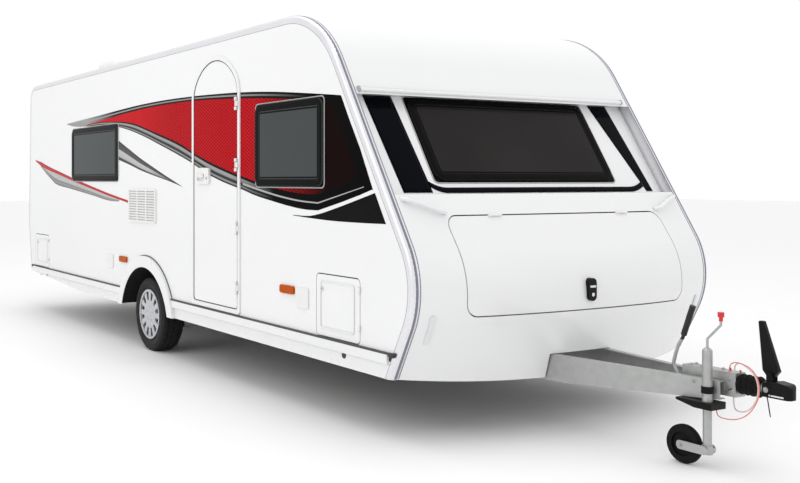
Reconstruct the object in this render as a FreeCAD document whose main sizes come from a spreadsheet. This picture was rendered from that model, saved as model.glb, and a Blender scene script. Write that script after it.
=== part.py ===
"""A single-axle travel caravan on its drawbar chassis, +X forward, +Y left, +Z up, in millimetres.

The origin is on the ground in the middle of the caravan's length and width. The body is a set of
panels set out on one side profile: every panel, trim and skirt is cut from that profile's insets.
"""
import FreeCAD, Part
import math
import os
import types
from FreeCAD import Vector

doc = FreeCAD.newDocument("TravelCaravan")
sheet = doc.addObject("Spreadsheet::Sheet", "Sizes")

# Driving dimensions, in millimetres and degrees
DRIVING = {
    # body shell
    "body_width": 2350, "body_length": 6916, "hitch_reach": 1322, "roof_height": 2465,
    "skirt_bottom": 338, "floor_bottom": 438, "floor_thick": 34, "wall_thick": 34,
    "panel_gap": 0.3, "shut_gap": 7,
    # side profile
    "slope_angle": 31.4, "tuck_angle": 27, "nose_radius": 480, "nose_height": 830,
    "brow_radius": 680, "tail_top_angle": 2.5, "tail_low_angle": 11, "tail_radius": 600,
    "tail_height": 1000, "tail_brow_radius": 170, "departure_angle": 2.75, "departure_back": 1823,
    # corner trim, skirt and wheel arch
    "trim_face": 50, "trim_wrap": 46, "trim_round": 26, "skirt_thick": 20, "rail_half": 9,
    "rail_proud": 16, "arch_height": 200, "arch_radius": 497, "arch_band": 93, "arch_proud": 30,
    "box_wall": 12, "box_depth": 300,
    # front: cap, window wall and nose moulding
    "cap_start": 1340, "ledge_height": 1966, "ledge_thick": 42, "front_recess": 72,
    "sill_height": 1345, "nose_skin": 28, "nose_bow": 85, "sill_bow": 35, "foot_bow": 200,
    "foot_drop": 36, "locker_depth": 470, "notch_half": 241, "notch_top": 441,
    # gas locker lid
    "lid_half": 852, "lid_top": 1222, "lid_bottom": 690, "lid_round": 70, "latch_width": 60,
    "latch_tall": 130, "latch_proud": 22,
    # windows: from the nose, sill and head heights, widths
    "glass_thick": 18, "glass_proud": 14, "glass_gap": 1, "glass_border": 44,
    "glass_step": 4, "window_head": 1920, "window_round": 62,
    "front_side_set": 857, "front_side_wide": 820, "front_side_sill": 1384,
    "rear_side_set": 1519, "rear_side_wide": 1218, "rear_side_sill": 1418,
    "front_glass_half": 711, "front_glass_foot": 1432, "front_glass_head": 1898,
    "tail_glass_half": 560, "tail_glass_sill": 1360, "tail_glass_head": 1890,
    # entrance door
    "door_front": 1938, "door_wide": 681, "door_bottom": 530, "door_spring": 2020,
    "door_rise": 260, "door_haunch": 190, "door_frame": 38, "frame_proud": 9, "hinge_out": 20,
    "hinge_pin": 8, "hinge_tall": 90, "handle_wide": 216, "handle_tall": 119, "handle_proud": 17,
    "handle_height": 1453,
    # service doors and small fittings
    "hatch_round": 28, "hatch_thick": 26, "front_hatch_set": 486, "front_hatch_wide": 448,
    "hatch_bottom": 492, "front_hatch_top": 858, "rear_hatch_set": 282, "rear_hatch_wide": 464,
    "rear_hatch_top": 830, "left_hatch_set": 820, "left_hatch_wide": 400, "left_hatch_top": 830,
    "vent_wide": 559, "vent_bottom": 1078, "vent_top": 1338, "vent_proud": 12, "vent_rows": 12,
    "vent_slot": 9, "marker_wide": 170, "marker_tall": 52, "marker_proud": 14, "flap_wide": 145,
    "flap_tall": 125, "flap_proud": 8, "lamp_wide": 180,
    "lamp_tall": 150, "lamp_proud": 22, "front_lamp_y": 1050, "front_lamp_height": 620,
    "front_lamp_wide": 30, "front_lamp_tall": 160, "bumper_tall": 190, "bumper_proud": 36,
    "grab_radius": 13,
    # roof
    "hatch_size": 480, "small_hatch": 400, "dome_tall": 62, "stack_wide": 400, "stack_tall": 142,
    "stack_y": 750, "stack_ahead": 1870,
    # chassis
    "member_y": 500, "member_wide": 40, "member_tall": 147, "member_web": 6, "member_back": 360,
    "bend_ahead": 1700, "drawbar_tip": 330, "drawbar_half": 60, "drawbar_thin": 90, "cross_deep": 50,
    # axle and wheels
    "axle_back": 3547, "tyre_radius": 304, "tyre_wide": 195, "wheel_inset": 20, "rim_radius": 205,
    "cover_disc": 115, "cover_dish": 24, "spoke_count": 12, "spoke_root": 17, "spoke_end": 25,
    "nut_size": 13, "nut_ring": 58, "nut_count": 5, "axle_tube_half": 46,
    "arm_reach": 160, "arm_thick": 42, "stub_radius": 18, "running_gap": 0.06, "drum_radius": 118,
    # overrun coupling
    "coupling_height": 430, "housing_long": 300, "housing_half": 38, "housing_up": 44,
    "housing_ahead": 56,
    "draw_radius": 25, "bellows_radius": 52, "bellows_long": 116, "head_long": 140, "head_half": 34,
    "ball_radius": 25.2, "ball_depth": 34, "stay_long": 250, "stay_width": 26, "stay_base": 84,
    "stay_set": 112, "stay_up": 70,
    # handbrake
    "brake_set": 625, "brake_height": 405, "brake_radius": 9, "brake_grip": 15, "brake_pin": 6,
    # jockey wheel
    "jockey_set": 374, "jockey_y": 112, "jockey_tube": 24, "jockey_stem": 21, "jockey_trail": 130,
    "jockey_radius": 98, "jockey_wide": 48, "jockey_top": 587, "sleeve_foot": 300,
    "fork_plate": 5, "clamp_long": 196, "clamp_tall": 34, "collar_tall": 44,
    # corner steadies
    "steady_long": 470, "steady_wide": 60, "steady_tall": 32, "steady_y": 820, "steady_pin": 8,
    "steady_front_set": 800, "steady_rear_set": 560, "steady_height": 385, "foot_wide": 110,
    # breakaway cable and lead
    "breakaway_radius": 2.5, "lead_radius": 3.5,
}

for row, (alias, value) in enumerate(DRIVING.items(), start=1):
    sheet.set("A%d" % row, alias)
    sheet.set("B%d" % row, str(value))
    sheet.setAlias("B%d" % row, alias)
doc.recompute()
s = types.SimpleNamespace(**{alias: float(sheet.get(alias)) for alias in DRIVING})

# Places that follow from the driving dimensions
HALF = s.body_width / 2
REAR_X = -(s.body_length + s.hitch_reach) / 2
NOSE_X = REAR_X + s.body_length
TIP_X = NOSE_X + s.hitch_reach
AXLE_X = NOSE_X - s.axle_back
FLOOR_TOP = s.floor_bottom + s.floor_thick
OVERRUN = s.wall_thick
INNER = HALF - s.wall_thick
LONG = s.body_length
SIDES = {"right": -1, "left": 1}


def direction(angle):
    """Unit vector (u, v) at an angle in degrees from the u axis."""
    return math.cos(math.radians(angle)), math.sin(math.radians(angle))


def profile_lines():
    """Straight sides of the body's side profile, each (angle of its outward normal, distance)."""
    nose = (NOSE_X - s.nose_radius, s.nose_height)
    tail = (REAR_X + s.tail_radius, s.tail_height)

    def beside(centre, radius, angle):
        nx, nz = direction(angle)
        return angle, centre[0] * nx + centre[1] * nz + radius

    back_angle = -90 - s.departure_angle
    bx, bz = direction(back_angle)
    kick = (AXLE_X - s.departure_back + s.arch_radius / 2, s.skirt_bottom)
    return [
        beside(nose, s.nose_radius, -s.tuck_angle),
        beside(nose, s.nose_radius, s.slope_angle),
        (90, s.roof_height),
        beside(tail, s.tail_radius, 180 - s.tail_top_angle),
        beside(tail, s.tail_radius, 180 + s.tail_low_angle),
        (back_angle, kick[0] * bx + kick[1] * bz),
        (-90, -s.skirt_bottom),
    ]


def profile(inset, bottom=None):
    """Corners (x, z, radius) of the side profile moved inwards by inset.

    With bottom given, the two lowest sides become one level side at that height.
    """
    lines = [(angle, reach - inset) for angle, reach in profile_lines()[:5]]
    radii = [s.nose_radius, s.brow_radius, s.tail_brow_radius, s.tail_radius]
    radii = [radius - inset for radius in radii]
    if bottom is None:
        lines += profile_lines()[5:]
        radii += [0, 0, 0]
    else:
        lines.append((-90, -bottom))
        radii += [0, 0]
    corners = []
    for i, radius in enumerate(radii):
        corners.append((*crossing(lines[i], lines[(i + 1) % len(lines)]), radius))
    return corners


def crossing(one, two):
    """Point where two lines, each (normal angle, distance), cross."""
    (a, b), (c, d) = direction(one[0]), direction(two[0])
    det = a * d - b * c
    return (one[1] * d - b * two[1]) / det, (a * two[1] - one[1] * c) / det


def curves(corners):
    """Closed outline as lines and arcs in the XY plane, from corners (u, v, radius)."""
    count = len(corners)
    trims = []
    for i, (u, v, radius) in enumerate(corners):
        here = Vector(u, v, 0)
        before = Vector(*corners[i - 1][:2], 0) - here
        after = Vector(*corners[(i + 1) % count][:2], 0) - here
        before.normalize()
        after.normalize()
        if radius <= 0:
            trims.append((here, here, here))
            continue
        half = before.getAngle(after) / 2
        reach = radius / math.tan(half)
        inward = before + after
        inward.normalize()
        middle = here + inward * (radius / math.sin(half) - radius)
        trims.append((here + before * reach, middle, here + after * reach))
    edges = []
    for i, (start, middle, end) in enumerate(trims):
        if (end - start).Length > 0:
            edges.append(Part.Arc(start, middle, end))
        following = trims[(i + 1) % count][0]
        if (following - end).Length > s.panel_gap / 100:
            edges.append(Part.LineSegment(end, following))
    return edges


def rectangle(u0, u1, v0, v1, radius=0):
    """Corners of an upright rectangle with equal corner radii."""
    return [(u0, v0, radius), (u1, v0, radius), (u1, v1, radius), (u0, v1, radius)]


PLANES = {
    "XY": FreeCAD.Placement(),
    "XZ": FreeCAD.Placement(Vector(0, 0, 0), FreeCAD.Rotation(Vector(1, 0, 0), 90)),
    "YZ": FreeCAD.Placement(Vector(0, 0, 0), FreeCAD.Rotation(Vector(1, 1, 1), 120)),
}
NORMALS = {"XY": Vector(0, 0, 1), "XZ": Vector(0, 1, 0), "YZ": Vector(1, 0, 0)}


def prism(plane, corners, low, high):
    """Solid with the outline drawn on a plane, from low to high along the plane's axis."""
    edges = corners if not isinstance(corners[0], tuple) else curves(corners)
    wire = Part.Wire(Part.__sortEdges__([edge.toShape() for edge in edges]))
    face = Part.Face(wire)
    face.Placement = PLANES[plane]
    face.translate(NORMALS[plane] * low)
    return face.extrude(NORMALS[plane] * (high - low))


def tube(start, end, radius):
    """Round bar between two points."""
    start, end = Vector(*start), Vector(*end)
    return Part.makeCylinder(radius, (end - start).Length, start, end - start)


parts = {}


def keep(label, shape):
    """Shape as a document object of its own, set from the sheet's sizes."""
    item = doc.addObject("Part::Feature", label)
    item.Label = label
    item.Shape = shape
    parts[label] = item
    return item


def span(side, near, far):
    """Two distances from the middle plane, on one side of it, in rising order."""
    return sorted((side * near, side * far))


def box(x, y, z):
    """Box between two x, two y and two z values."""
    return Part.makeBox(x[1] - x[0], y[1] - y[0], z[1] - z[0], Vector(x[0], y[0], z[0]))


def spun(corners, start, axis):
    """Solid turned about an axis through start from corners (radius, distance along it, rounding)."""
    wire = Part.Wire(Part.__sortEdges__([edge.toShape() for edge in curves(corners)]))
    solid = Part.Face(wire).revolve(Vector(0, 0, 0), Vector(0, 1, 0), 360)
    turn = FreeCAD.Rotation(Vector(0, 1, 0), Vector(*axis))
    solid.Placement = FreeCAD.Placement(Vector(*start), turn)
    return solid


CORNER_SHARE = 0.45


def rod(points, radius, bend=None, report=None):
    """Round bar along a route: straight runs joined by tangent arcs.

    Each arc has the radius bend or, without it, the largest that its two runs allow.
    """
    points = [Vector(*point) for point in points]
    edges = []
    radii = []
    last = points[0]
    for before, here, after in zip(points, points[1:], points[2:]):
        back = before - here
        ahead = after - here
        half_turn = (math.pi - back.getAngle(ahead)) / 2
        reach = CORNER_SHARE * min(back.Length, ahead.Length)
        if bend is not None:
            reach = min(reach, bend * math.tan(half_turn))
        radii.append(reach / math.tan(half_turn))
        back.normalize()
        ahead.normalize()
        inward = back + ahead
        inward.normalize()
        middle = here + inward * (radii[-1] / math.cos(half_turn) - radii[-1])
        edges.append(Part.makeLine(last, here + back * reach))
        edges.append(Part.Arc(here + back * reach, middle, here + ahead * reach).toShape())
        last = here + ahead * reach
    edges.append(Part.makeLine(last, points[-1]))
    wire = Part.Wire(edges)
    ring = Part.Wire([Part.makeCircle(radius, points[0], points[1] - points[0])])
    solid = wire.makePipeShell([ring], True, True)
    if report:
        share = solid.Volume / (wire.Length * math.pi * radius ** 2)
        print(report, "radii", [round(value, 1) for value in radii], "volume share", round(share, 4))
        if abs(share - 1) > VOLUME_SHARE:
            raise RuntimeError(report + ": the tube's volume is off")
    return solid


VOLUME_SHARE = 0.01


def origin_plane(body, role):
    return next(item for item in body.Origin.OriginFeatures if item.Role == role)


def body_sketch(body, role, outlines, height):
    """Sketch of closed outlines on one of the body's own planes, lifted by an expression."""
    sketch = body.newObject("Sketcher::SketchObject", "Outline")
    sketch.AttachmentSupport = [(origin_plane(body, role), "")]
    sketch.MapMode = "FlatFace"
    for corners in outlines:
        edges = corners if not isinstance(corners[0], tuple) else curves(corners)
        sketch.addGeometry(edges, False)
    sketch.setExpression(".AttachmentOffset.Base.z", height)
    return sketch


def padded(label, role, outlines, height, length, keep_part=True):
    """PartDesign body: outlines padded by one expression from a plane lifted by another."""
    body = doc.addObject("PartDesign::Body", label)
    body.Label = label
    sketch = body_sketch(body, role, outlines, height)
    pad = body.newObject("PartDesign::Pad", "Thickness")
    pad.Profile = sketch
    pad.setExpression("Length", length)
    doc.recompute()
    if keep_part:
        parts[label] = body
    return body


def pocketed(body, role, outlines, height, length):
    """Pocket cut down from a sketch, with the volume compared so that it must bite."""
    before = body.Shape.Volume
    sketch = body_sketch(body, role, outlines, height)
    pocket = body.newObject("PartDesign::Pocket", "Opening")
    pocket.Profile = sketch
    pocket.setExpression("Length", length)
    doc.recompute()
    if body.Shape.Volume >= before:
        raise RuntimeError(body.Label + ": a pocket misses")
    return pocket


# Outlines on the side walls, used by the walls and by what fills their openings
def door_outline(grow):
    """Entrance door: straight sides under a three-centred arch, grown outwards."""
    right = NOSE_X - s.door_front + grow
    left = right - s.door_wide - 2 * grow
    half = (right - left) / 2
    rise = s.door_rise + grow
    haunch = s.door_haunch + grow
    crown = (half * half - 2 * half * haunch + rise * rise) / (2 * (rise - haunch))
    middle = (left + right) / 2
    foot = s.door_bottom - grow
    tilt = math.atan2(half - haunch, crown - rise)
    join_x = (crown - haunch) * math.sin(tilt) + haunch * math.sin(tilt)
    join_z = s.door_spring + haunch * math.cos(tilt)
    side = (90 - math.degrees(tilt)) / 2
    mid_x = half - haunch + haunch * math.cos(math.radians(side))
    mid_z = s.door_spring + haunch * math.sin(math.radians(side))
    soft = s.hatch_round
    point = lambda x, z: Vector(middle + x, z, 0)
    turn = soft * (1 - math.sqrt(0.5))
    return [
        Part.LineSegment(point(half, foot + soft), point(half, s.door_spring)),
        Part.Arc(point(half, s.door_spring), point(mid_x, mid_z), point(join_x, join_z)),
        Part.Arc(point(join_x, join_z), point(0, s.door_spring + rise), point(-join_x, join_z)),
        Part.Arc(point(-join_x, join_z), point(-mid_x, mid_z), point(-half, s.door_spring)),
        Part.LineSegment(point(-half, s.door_spring), point(-half, foot + soft)),
        Part.Arc(point(-half, foot + soft), point(-half + turn, foot + turn), point(-half + soft, foot)),
        Part.LineSegment(point(-half + soft, foot), point(half - soft, foot)),
        Part.Arc(point(half - soft, foot), point(half - turn, foot + turn), point(half, foot + soft)),
    ]


def grown(area, grow):
    """Opening (x0, x1, z0, z1, radius) grown outwards on all sides."""
    x0, x1, z0, z1, radius = area
    return rectangle(x0 - grow, x1 + grow, z0 - grow, z1 + grow, radius + grow)


FRONT_SIDE = (NOSE_X - s.front_side_set - s.front_side_wide, NOSE_X - s.front_side_set,
              s.front_side_sill, s.window_head, s.window_round)
REAR_SIDE = (REAR_X + s.rear_side_set, REAR_X + s.rear_side_set + s.rear_side_wide,
             s.rear_side_sill, s.window_head, s.window_round)
WINDOWS = [FRONT_SIDE, REAR_SIDE]
VENT_SHARE = 0.645
vent_back = AXLE_X - VENT_SHARE * s.vent_wide
VENT = (vent_back, vent_back + s.vent_wide, s.vent_bottom, s.vent_top, s.hatch_round / 2)
HATCHES = {
    "service_door_front": (-1, (NOSE_X - s.front_hatch_set - s.front_hatch_wide,
                                NOSE_X - s.front_hatch_set,
                                s.hatch_bottom, s.front_hatch_top, s.hatch_round)),
    "service_door_rear": (-1, (REAR_X + s.rear_hatch_set, REAR_X + s.rear_hatch_set + s.rear_hatch_wide,
                               s.hatch_bottom, s.rear_hatch_top, s.hatch_round)),
    "service_door_left": (1, (REAR_X + s.left_hatch_set, REAR_X + s.left_hatch_set + s.left_hatch_wide,
                              s.hatch_bottom, s.left_hatch_top, s.hatch_round)),
}


def wall_start(side):
    """Expression for the sketch plane of a side wall: pads run towards -Y from it."""
    if side < 0:
        return "Sizes.body_width / 2 - Sizes.wall_thick"
    return "-Sizes.body_width / 2"


def arch_disc(radius, low, high):
    """Wheel arch cylinder across the body at the axle."""
    return tube((AXLE_X, low, s.arch_height), (AXLE_X, high, s.arch_height), radius)


def outer_rim(feature, outer_y):
    """Edges of a corner trim that lie on its outer face and on the profile's outline."""
    rim = Part.Wire(Part.__sortEdges__([edge.toShape() for edge in curves(profile(0))]))
    rim.Placement = PLANES["XZ"]
    rim.translate(Vector(0, outer_y, 0))
    names = []
    for i, edge in enumerate(feature.Shape.Edges, start=1):
        middle = edge.valueAt((edge.FirstParameter + edge.LastParameter) / 2)
        flat = abs(middle.y - outer_y) < s.panel_gap
        low = middle.z < s.skirt_bottom + s.trim_face * 2
        if flat and not (low and abs(edge.tangentAt(edge.FirstParameter).z) < 0.5):
            if rim.distToShape(Part.Vertex(middle))[0] < s.panel_gap:
                names.append("Edge%d" % i)
    return names


def lower_space(height):
    """Everything below a height."""
    return Part.makeBox(2 * LONG, LONG, LONG, Vector(-LONG, -LONG / 2, height - LONG))


# Side walls: sandwich panels with their window, door, hatch and wheel arch openings
WALL_FOOT = FLOOR_TOP
for name, side in SIDES.items():
    wall = padded("side_wall_" + name, "XZ_Plane",
                  [profile(s.trim_face + s.panel_gap, WALL_FOOT)], wall_start(side), "Sizes.wall_thick")
    cuts = [grown(area, -s.glass_thick) for area in WINDOWS]
    cuts += [grown(area, s.shut_gap) for at, area in HATCHES.values() if at == side]
    arch_half = math.sqrt(s.arch_radius ** 2 - (WALL_FOOT - s.arch_height) ** 2)
    arch_top = Vector(AXLE_X, s.arch_height + s.arch_radius, 0)
    foot_left = Vector(AXLE_X - arch_half, WALL_FOOT, 0)
    foot_right = Vector(AXLE_X + arch_half, WALL_FOOT, 0)
    below = Vector(0, -s.wall_thick, 0)
    cuts.append([Part.Arc(foot_right, arch_top, foot_left),
                 Part.LineSegment(foot_left, foot_left + below),
                 Part.LineSegment(foot_left + below, foot_right + below),
                 Part.LineSegment(foot_right + below, foot_right)])
    if side < 0:
        cuts.append(door_outline(s.shut_gap))
        cuts.append(grown(VENT, -s.hatch_round / 3))
    pocketed(wall, "XZ_Plane", cuts, wall_start(side), "-Sizes.wall_thick")

# Corner trims: aluminium sections wrapped round the whole edge of each side wall
for name, side in SIDES.items():
    label = "edge_trim_" + name
    start = "Sizes.body_width / 2 - Sizes.trim_wrap" if side < 0 else "-Sizes.body_width / 2"
    trim = padded(label, "XZ_Plane", [profile(0)], start, "Sizes.trim_wrap")
    inner = profile(s.trim_face)[:4]
    low_front = crossing((-s.tuck_angle, profile_lines()[0][1] - s.trim_face), (-90, 0))
    low_back = crossing((180 + s.tail_low_angle, profile_lines()[4][1] - s.trim_face), (-90, 0))
    hollow = pocketed(trim, "XZ_Plane", [inner + [(*low_back, 0), (*low_front, 0)]], start,
                      "-Sizes.trim_wrap")
    soften = trim.newObject("PartDesign::Fillet", "Rounding")
    soften.Base = (hollow, outer_rim(hollow, side * HALF))
    soften.setExpression("Radius", "Sizes.trim_round")
    doc.recompute()

# Panels between the trims: roof, rear wall, front cap, window wall and floor
BETWEEN = HALF - s.trim_wrap - s.panel_gap
SHEET_GAP = s.panel_gap
SLOPE_X, SLOPE_Z = direction(s.slope_angle)


def slope_point(height, inset):
    """Point of the sloping front at a height, moved inwards by inset."""
    reach = profile_lines()[1][1] - inset
    return (reach - height * SLOPE_Z) / SLOPE_X, height


def ribbon(outer, inner):
    """Closed corners of a bent panel: its outer corners, then its inner ones back again."""
    return outer + inner[::-1]


def panel(label, corners, openings=()):
    """Panel with its section in the XZ plane, reaching from trim to trim."""
    shape = prism("XZ", corners, -BETWEEN, BETWEEN)
    for opening in openings:
        shape = shape.cut(opening)
    return keep(label, shape)


outer = profile(SHEET_GAP)
inner = profile(s.wall_thick)
cap_x = NOSE_X - s.cap_start
roof_rear = REAR_X + s.tail_brow_radius + 2 * s.trim_face
hatch_places = [(AXLE_X + s.arch_radius * 3, s.hatch_size), (AXLE_X - s.arch_radius, s.small_hatch)]
roof_cuts = []
for x, size in hatch_places:
    half = size / 2
    roof_cuts.append(prism("XY", rectangle(x - half, x + half, -half, half, s.hatch_round),
                           s.roof_height - 2 * OVERRUN, s.roof_height + OVERRUN))
roof_top = s.roof_height - SHEET_GAP
panel("roof_panel", [(roof_rear, roof_top - s.wall_thick, 0), (cap_x, roof_top - s.wall_thick, 0),
                     (cap_x, roof_top, 0), (roof_rear, roof_top, 0)], roof_cuts)

# Rear wall: wraps from the roof's edge down to the floor, with the rear window's opening
rear_section = ribbon([(roof_rear - s.panel_gap, roof_top, 0), outer[2], outer[3],
                       (*crossing((180 + s.tail_low_angle, profile_lines()[4][1] - SHEET_GAP),
                                  (-90, -s.floor_bottom)), 0)],
                      [(roof_rear - s.panel_gap, s.roof_height - s.wall_thick, 0), inner[2], inner[3],
                       (*crossing((180 + s.tail_low_angle, profile_lines()[4][1] - s.wall_thick),
                                  (-90, -s.floor_bottom)), 0)])
tail_hole = prism("YZ", rectangle(-s.tail_glass_half, s.tail_glass_half, s.tail_glass_sill,
                                  s.tail_glass_head, s.window_round),
                  REAR_X - OVERRUN, REAR_X + 6 * OVERRUN)
panel("rear_wall", rear_section, [tail_hole])

# Front cap: moulded brow that carries the roof over the window wall and ends in a ledge
brow = profile(SHEET_GAP)[1]
ledge_front = slope_point(s.ledge_height, SHEET_GAP)
ledge_foot = slope_point(s.ledge_height - s.ledge_thick, SHEET_GAP)
recess_foot = slope_point(s.ledge_height - s.ledge_thick, s.front_recess)
recess_back = slope_point(s.ledge_height - s.ledge_thick, s.front_recess + s.wall_thick)
brow_in = profile(s.wall_thick)[1]
ledge_back = slope_point(s.ledge_height, s.front_recess + s.wall_thick)
ledge_in = slope_point(s.ledge_height, s.wall_thick)
panel("front_cap", [(cap_x + s.panel_gap, roof_top, 0), brow, (*ledge_front, 0), (*ledge_foot, 0),
                    (*recess_foot, 0), (*recess_back, 0), (*ledge_back, 0), (*ledge_in, 0), brow_in,
                    (cap_x + s.panel_gap, s.roof_height - s.wall_thick, 0)])

# Window wall: slopes down behind the ledge, turns in under the sill and drops to the floor
wall_head = s.ledge_height - s.ledge_thick - s.panel_gap
head_out = slope_point(wall_head, s.front_recess)
head_in = slope_point(wall_head, s.front_recess + s.wall_thick)
sill_out = slope_point(s.sill_height, s.front_recess)
sill_in = slope_point(s.sill_height, s.front_recess + s.wall_thick)
bulk_x = NOSE_X - s.locker_depth
shelf = s.lid_top + s.nose_skin + s.wall_thick
glass_mid = (s.front_glass_foot + s.front_glass_head) / 2
front_hole_long = (s.front_glass_head - s.front_glass_foot) / math.cos(math.radians(s.slope_angle)) / 2


def facing(index, inset, height):
    """Frame on a straight side of the profile: its z axis points outwards, its y axis across."""
    angle, reach = profile_lines()[index]
    x, z = crossing((angle, reach - inset), (90, height))
    return FreeCAD.Placement(Vector(x, 0, z), FreeCAD.Rotation(Vector(0, 1, 0), 90 - angle))


def slab(frame, half_tall, half_wide, radius, low, high, across=0):
    """Rounded plate in a frame, between two heights over it."""
    shape = prism("XY", rectangle(-half_tall, half_tall, across - half_wide, across + half_wide, radius),
                  low, high)
    shape.Placement = frame
    return shape


FRONT_FRAME = facing(1, s.front_recess, glass_mid)
panel("front_wall", [(*head_out, 0), (*sill_out, 0), (sill_out[0], shelf, 0),
                     (bulk_x + s.wall_thick, shelf, s.wall_thick),
                     (bulk_x + s.wall_thick, FLOOR_TOP + s.panel_gap, 0),
                     (bulk_x, FLOOR_TOP + s.panel_gap, 0), (bulk_x, shelf + s.wall_thick, 0),
                     (sill_in[0], shelf + s.wall_thick, 0), (*sill_in, 0), (*head_in, 0)],
      [slab(FRONT_FRAME, front_hole_long, s.front_glass_half, s.window_round, -2 * OVERRUN, OVERRUN)])

# Floor: one sandwich panel with the two wheel box cut-outs
floor_front = crossing((-s.tuck_angle, profile_lines()[0][1] - s.trim_face), (-90, -s.floor_bottom))[0]
floor_back = crossing((180 + s.tail_low_angle, profile_lines()[4][1] - s.trim_face),
                      (-90, -s.floor_bottom))[0] + s.panel_gap
box_outer = s.arch_radius + s.box_wall
floor_half = HALF - s.panel_gap
floor = prism("XY", rectangle(floor_back, floor_front, -floor_half, floor_half), s.floor_bottom, FLOOR_TOP)
for name, side in SIDES.items():
    inner_y = side * (INNER - s.box_depth)
    floor = floor.cut(arch_disc(box_outer + s.panel_gap, inner_y, side * (HALF + OVERRUN)))
keep("floor_panel", floor)

# Wheel boxes: half drums closed on their inner side, standing in the floor's cut-outs
boxes = []
for name, side in SIDES.items():
    mouth = side * (INNER - s.panel_gap)
    inner_y = side * (INNER - s.box_depth + s.panel_gap)
    wall_y = inner_y + side * s.box_wall
    drum = arch_disc(box_outer, mouth, inner_y).cut(arch_disc(s.arch_radius, mouth + side, wall_y))
    boxes.append(drum.cut(lower_space(s.floor_bottom)))
keep("wheel_boxes", Part.makeCompound(boxes))

# Skirts: side valances below the floor with the rail along their top and the wheel arch band
arch_outer = s.arch_radius + s.arch_band
for name, side in SIDES.items():
    face = HALF
    back = side * (face - s.skirt_thick)
    low_y, high_y = sorted((back, side * face))
    plate = prism("XZ", profile(s.trim_face + s.panel_gap), low_y, high_y)
    plate = plate.common(lower_space(s.floor_bottom - s.panel_gap))
    band_low, band_high = sorted((back, side * (face + s.arch_proud)))
    band = arch_disc(arch_outer, band_low, band_high)
    wall_room = arch_disc(arch_outer + OVERRUN, back - side * LONG, side * (face + s.panel_gap))
    band = band.cut(wall_room.cut(lower_space(s.floor_bottom - s.panel_gap)))
    rail_y = side * (face + s.panel_gap)
    rail_low, rail_high = sorted((rail_y, rail_y + side * s.rail_proud))
    rail_z = FLOOR_TOP - s.rail_half
    rail_foot = s.floor_bottom - 2 * s.rail_half
    rail_ends = (REAR_X + s.trim_face * 4,
                 crossing((-s.tuck_angle, profile_lines()[0][1] - s.trim_face),
                          (-90, -rail_foot))[0] - s.shut_gap)
    rail = prism("YZ", rectangle(rail_low, rail_high, rail_foot, rail_z + 2 * s.rail_half,
                                 s.rail_proud / 3), *rail_ends)
    lower = prism("YZ", rectangle(min(back, rail_y), max(back, rail_y), rail_foot,
                                  s.floor_bottom - s.panel_gap), *rail_ends)
    skirt = plate.fuse([band, rail, lower]).removeSplitter()
    skirt = skirt.cut(arch_disc(s.arch_radius, -LONG, LONG)).cut(lower_space(s.skirt_bottom))
    keep("skirt_" + name, skirt)


# Nose moulding: lofted through sections that bow forward from the trims to the middle
tuck_line = profile_lines()[0]
slope_line = profile_lines()[1]
STATION_SHARES = [-1, -0.78, -0.45, 0, 0.45, 0.78, 1]
BOW_POWER = 2.4


def nose_section(share):
    """Section of the nose skin at a share of the half width: its bow grows towards the middle."""
    bow = 1 - abs(share) ** BOW_POWER
    knee = crossing(tuck_line, slope_line)
    foot_z = s.skirt_bottom - s.foot_drop * bow
    foot_x = crossing(tuck_line, (-90, -s.skirt_bottom))[0] + s.foot_bow * bow
    sill_x = slope_point(s.sill_height, 0)[0] + s.sill_bow * bow
    back_x = slope_point(s.sill_height, s.front_recess)[0] + 2 * s.panel_gap
    low_back = slope_point(s.sill_height - s.nose_skin, s.front_recess)[0] + 2 * s.panel_gap
    knee_x = knee[0] + s.nose_bow * bow
    skin = s.nose_skin
    corners = [
        (back_x, s.sill_height, 0), (sill_x, s.sill_height, skin / 2),
        (knee_x, knee[1], s.nose_radius), (foot_x, foot_z, 0), (foot_x - skin, foot_z, 0),
        (knee_x - skin / SLOPE_X, knee[1] - skin / 4, s.nose_radius - skin),
        (sill_x - skin / 2, s.sill_height - skin, 0), (low_back, s.sill_height - skin, 0),
    ]
    wire = Part.Wire(Part.__sortEdges__([edge.toShape() for edge in curves(corners)]))
    wire.Placement = PLANES["XZ"]
    wire.translate(Vector(0, share * BETWEEN, 0))
    return wire


nose_shell = Part.makeLoft([nose_section(share) for share in STATION_SHARES], True, False)
lid_box = (-s.lid_half, s.lid_half, s.lid_bottom, s.lid_top, s.lid_round)
lid_start = NOSE_X - s.locker_depth
lid_hole = prism("YZ", grown(lid_box, s.shut_gap), lid_start, TIP_X)
notch = prism("YZ", rectangle(-s.notch_half, s.notch_half, -s.notch_top, s.notch_top, s.panel_gap),
              lid_start, TIP_X)


def nose_at(y, height):
    """Outermost x of the nose at a distance from the middle plane and a height."""
    probe = tube((lid_start, y, height), (TIP_X, y, height), s.panel_gap)
    return max(vertex.X for vertex in nose_shell.common(probe).Vertexes)


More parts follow.
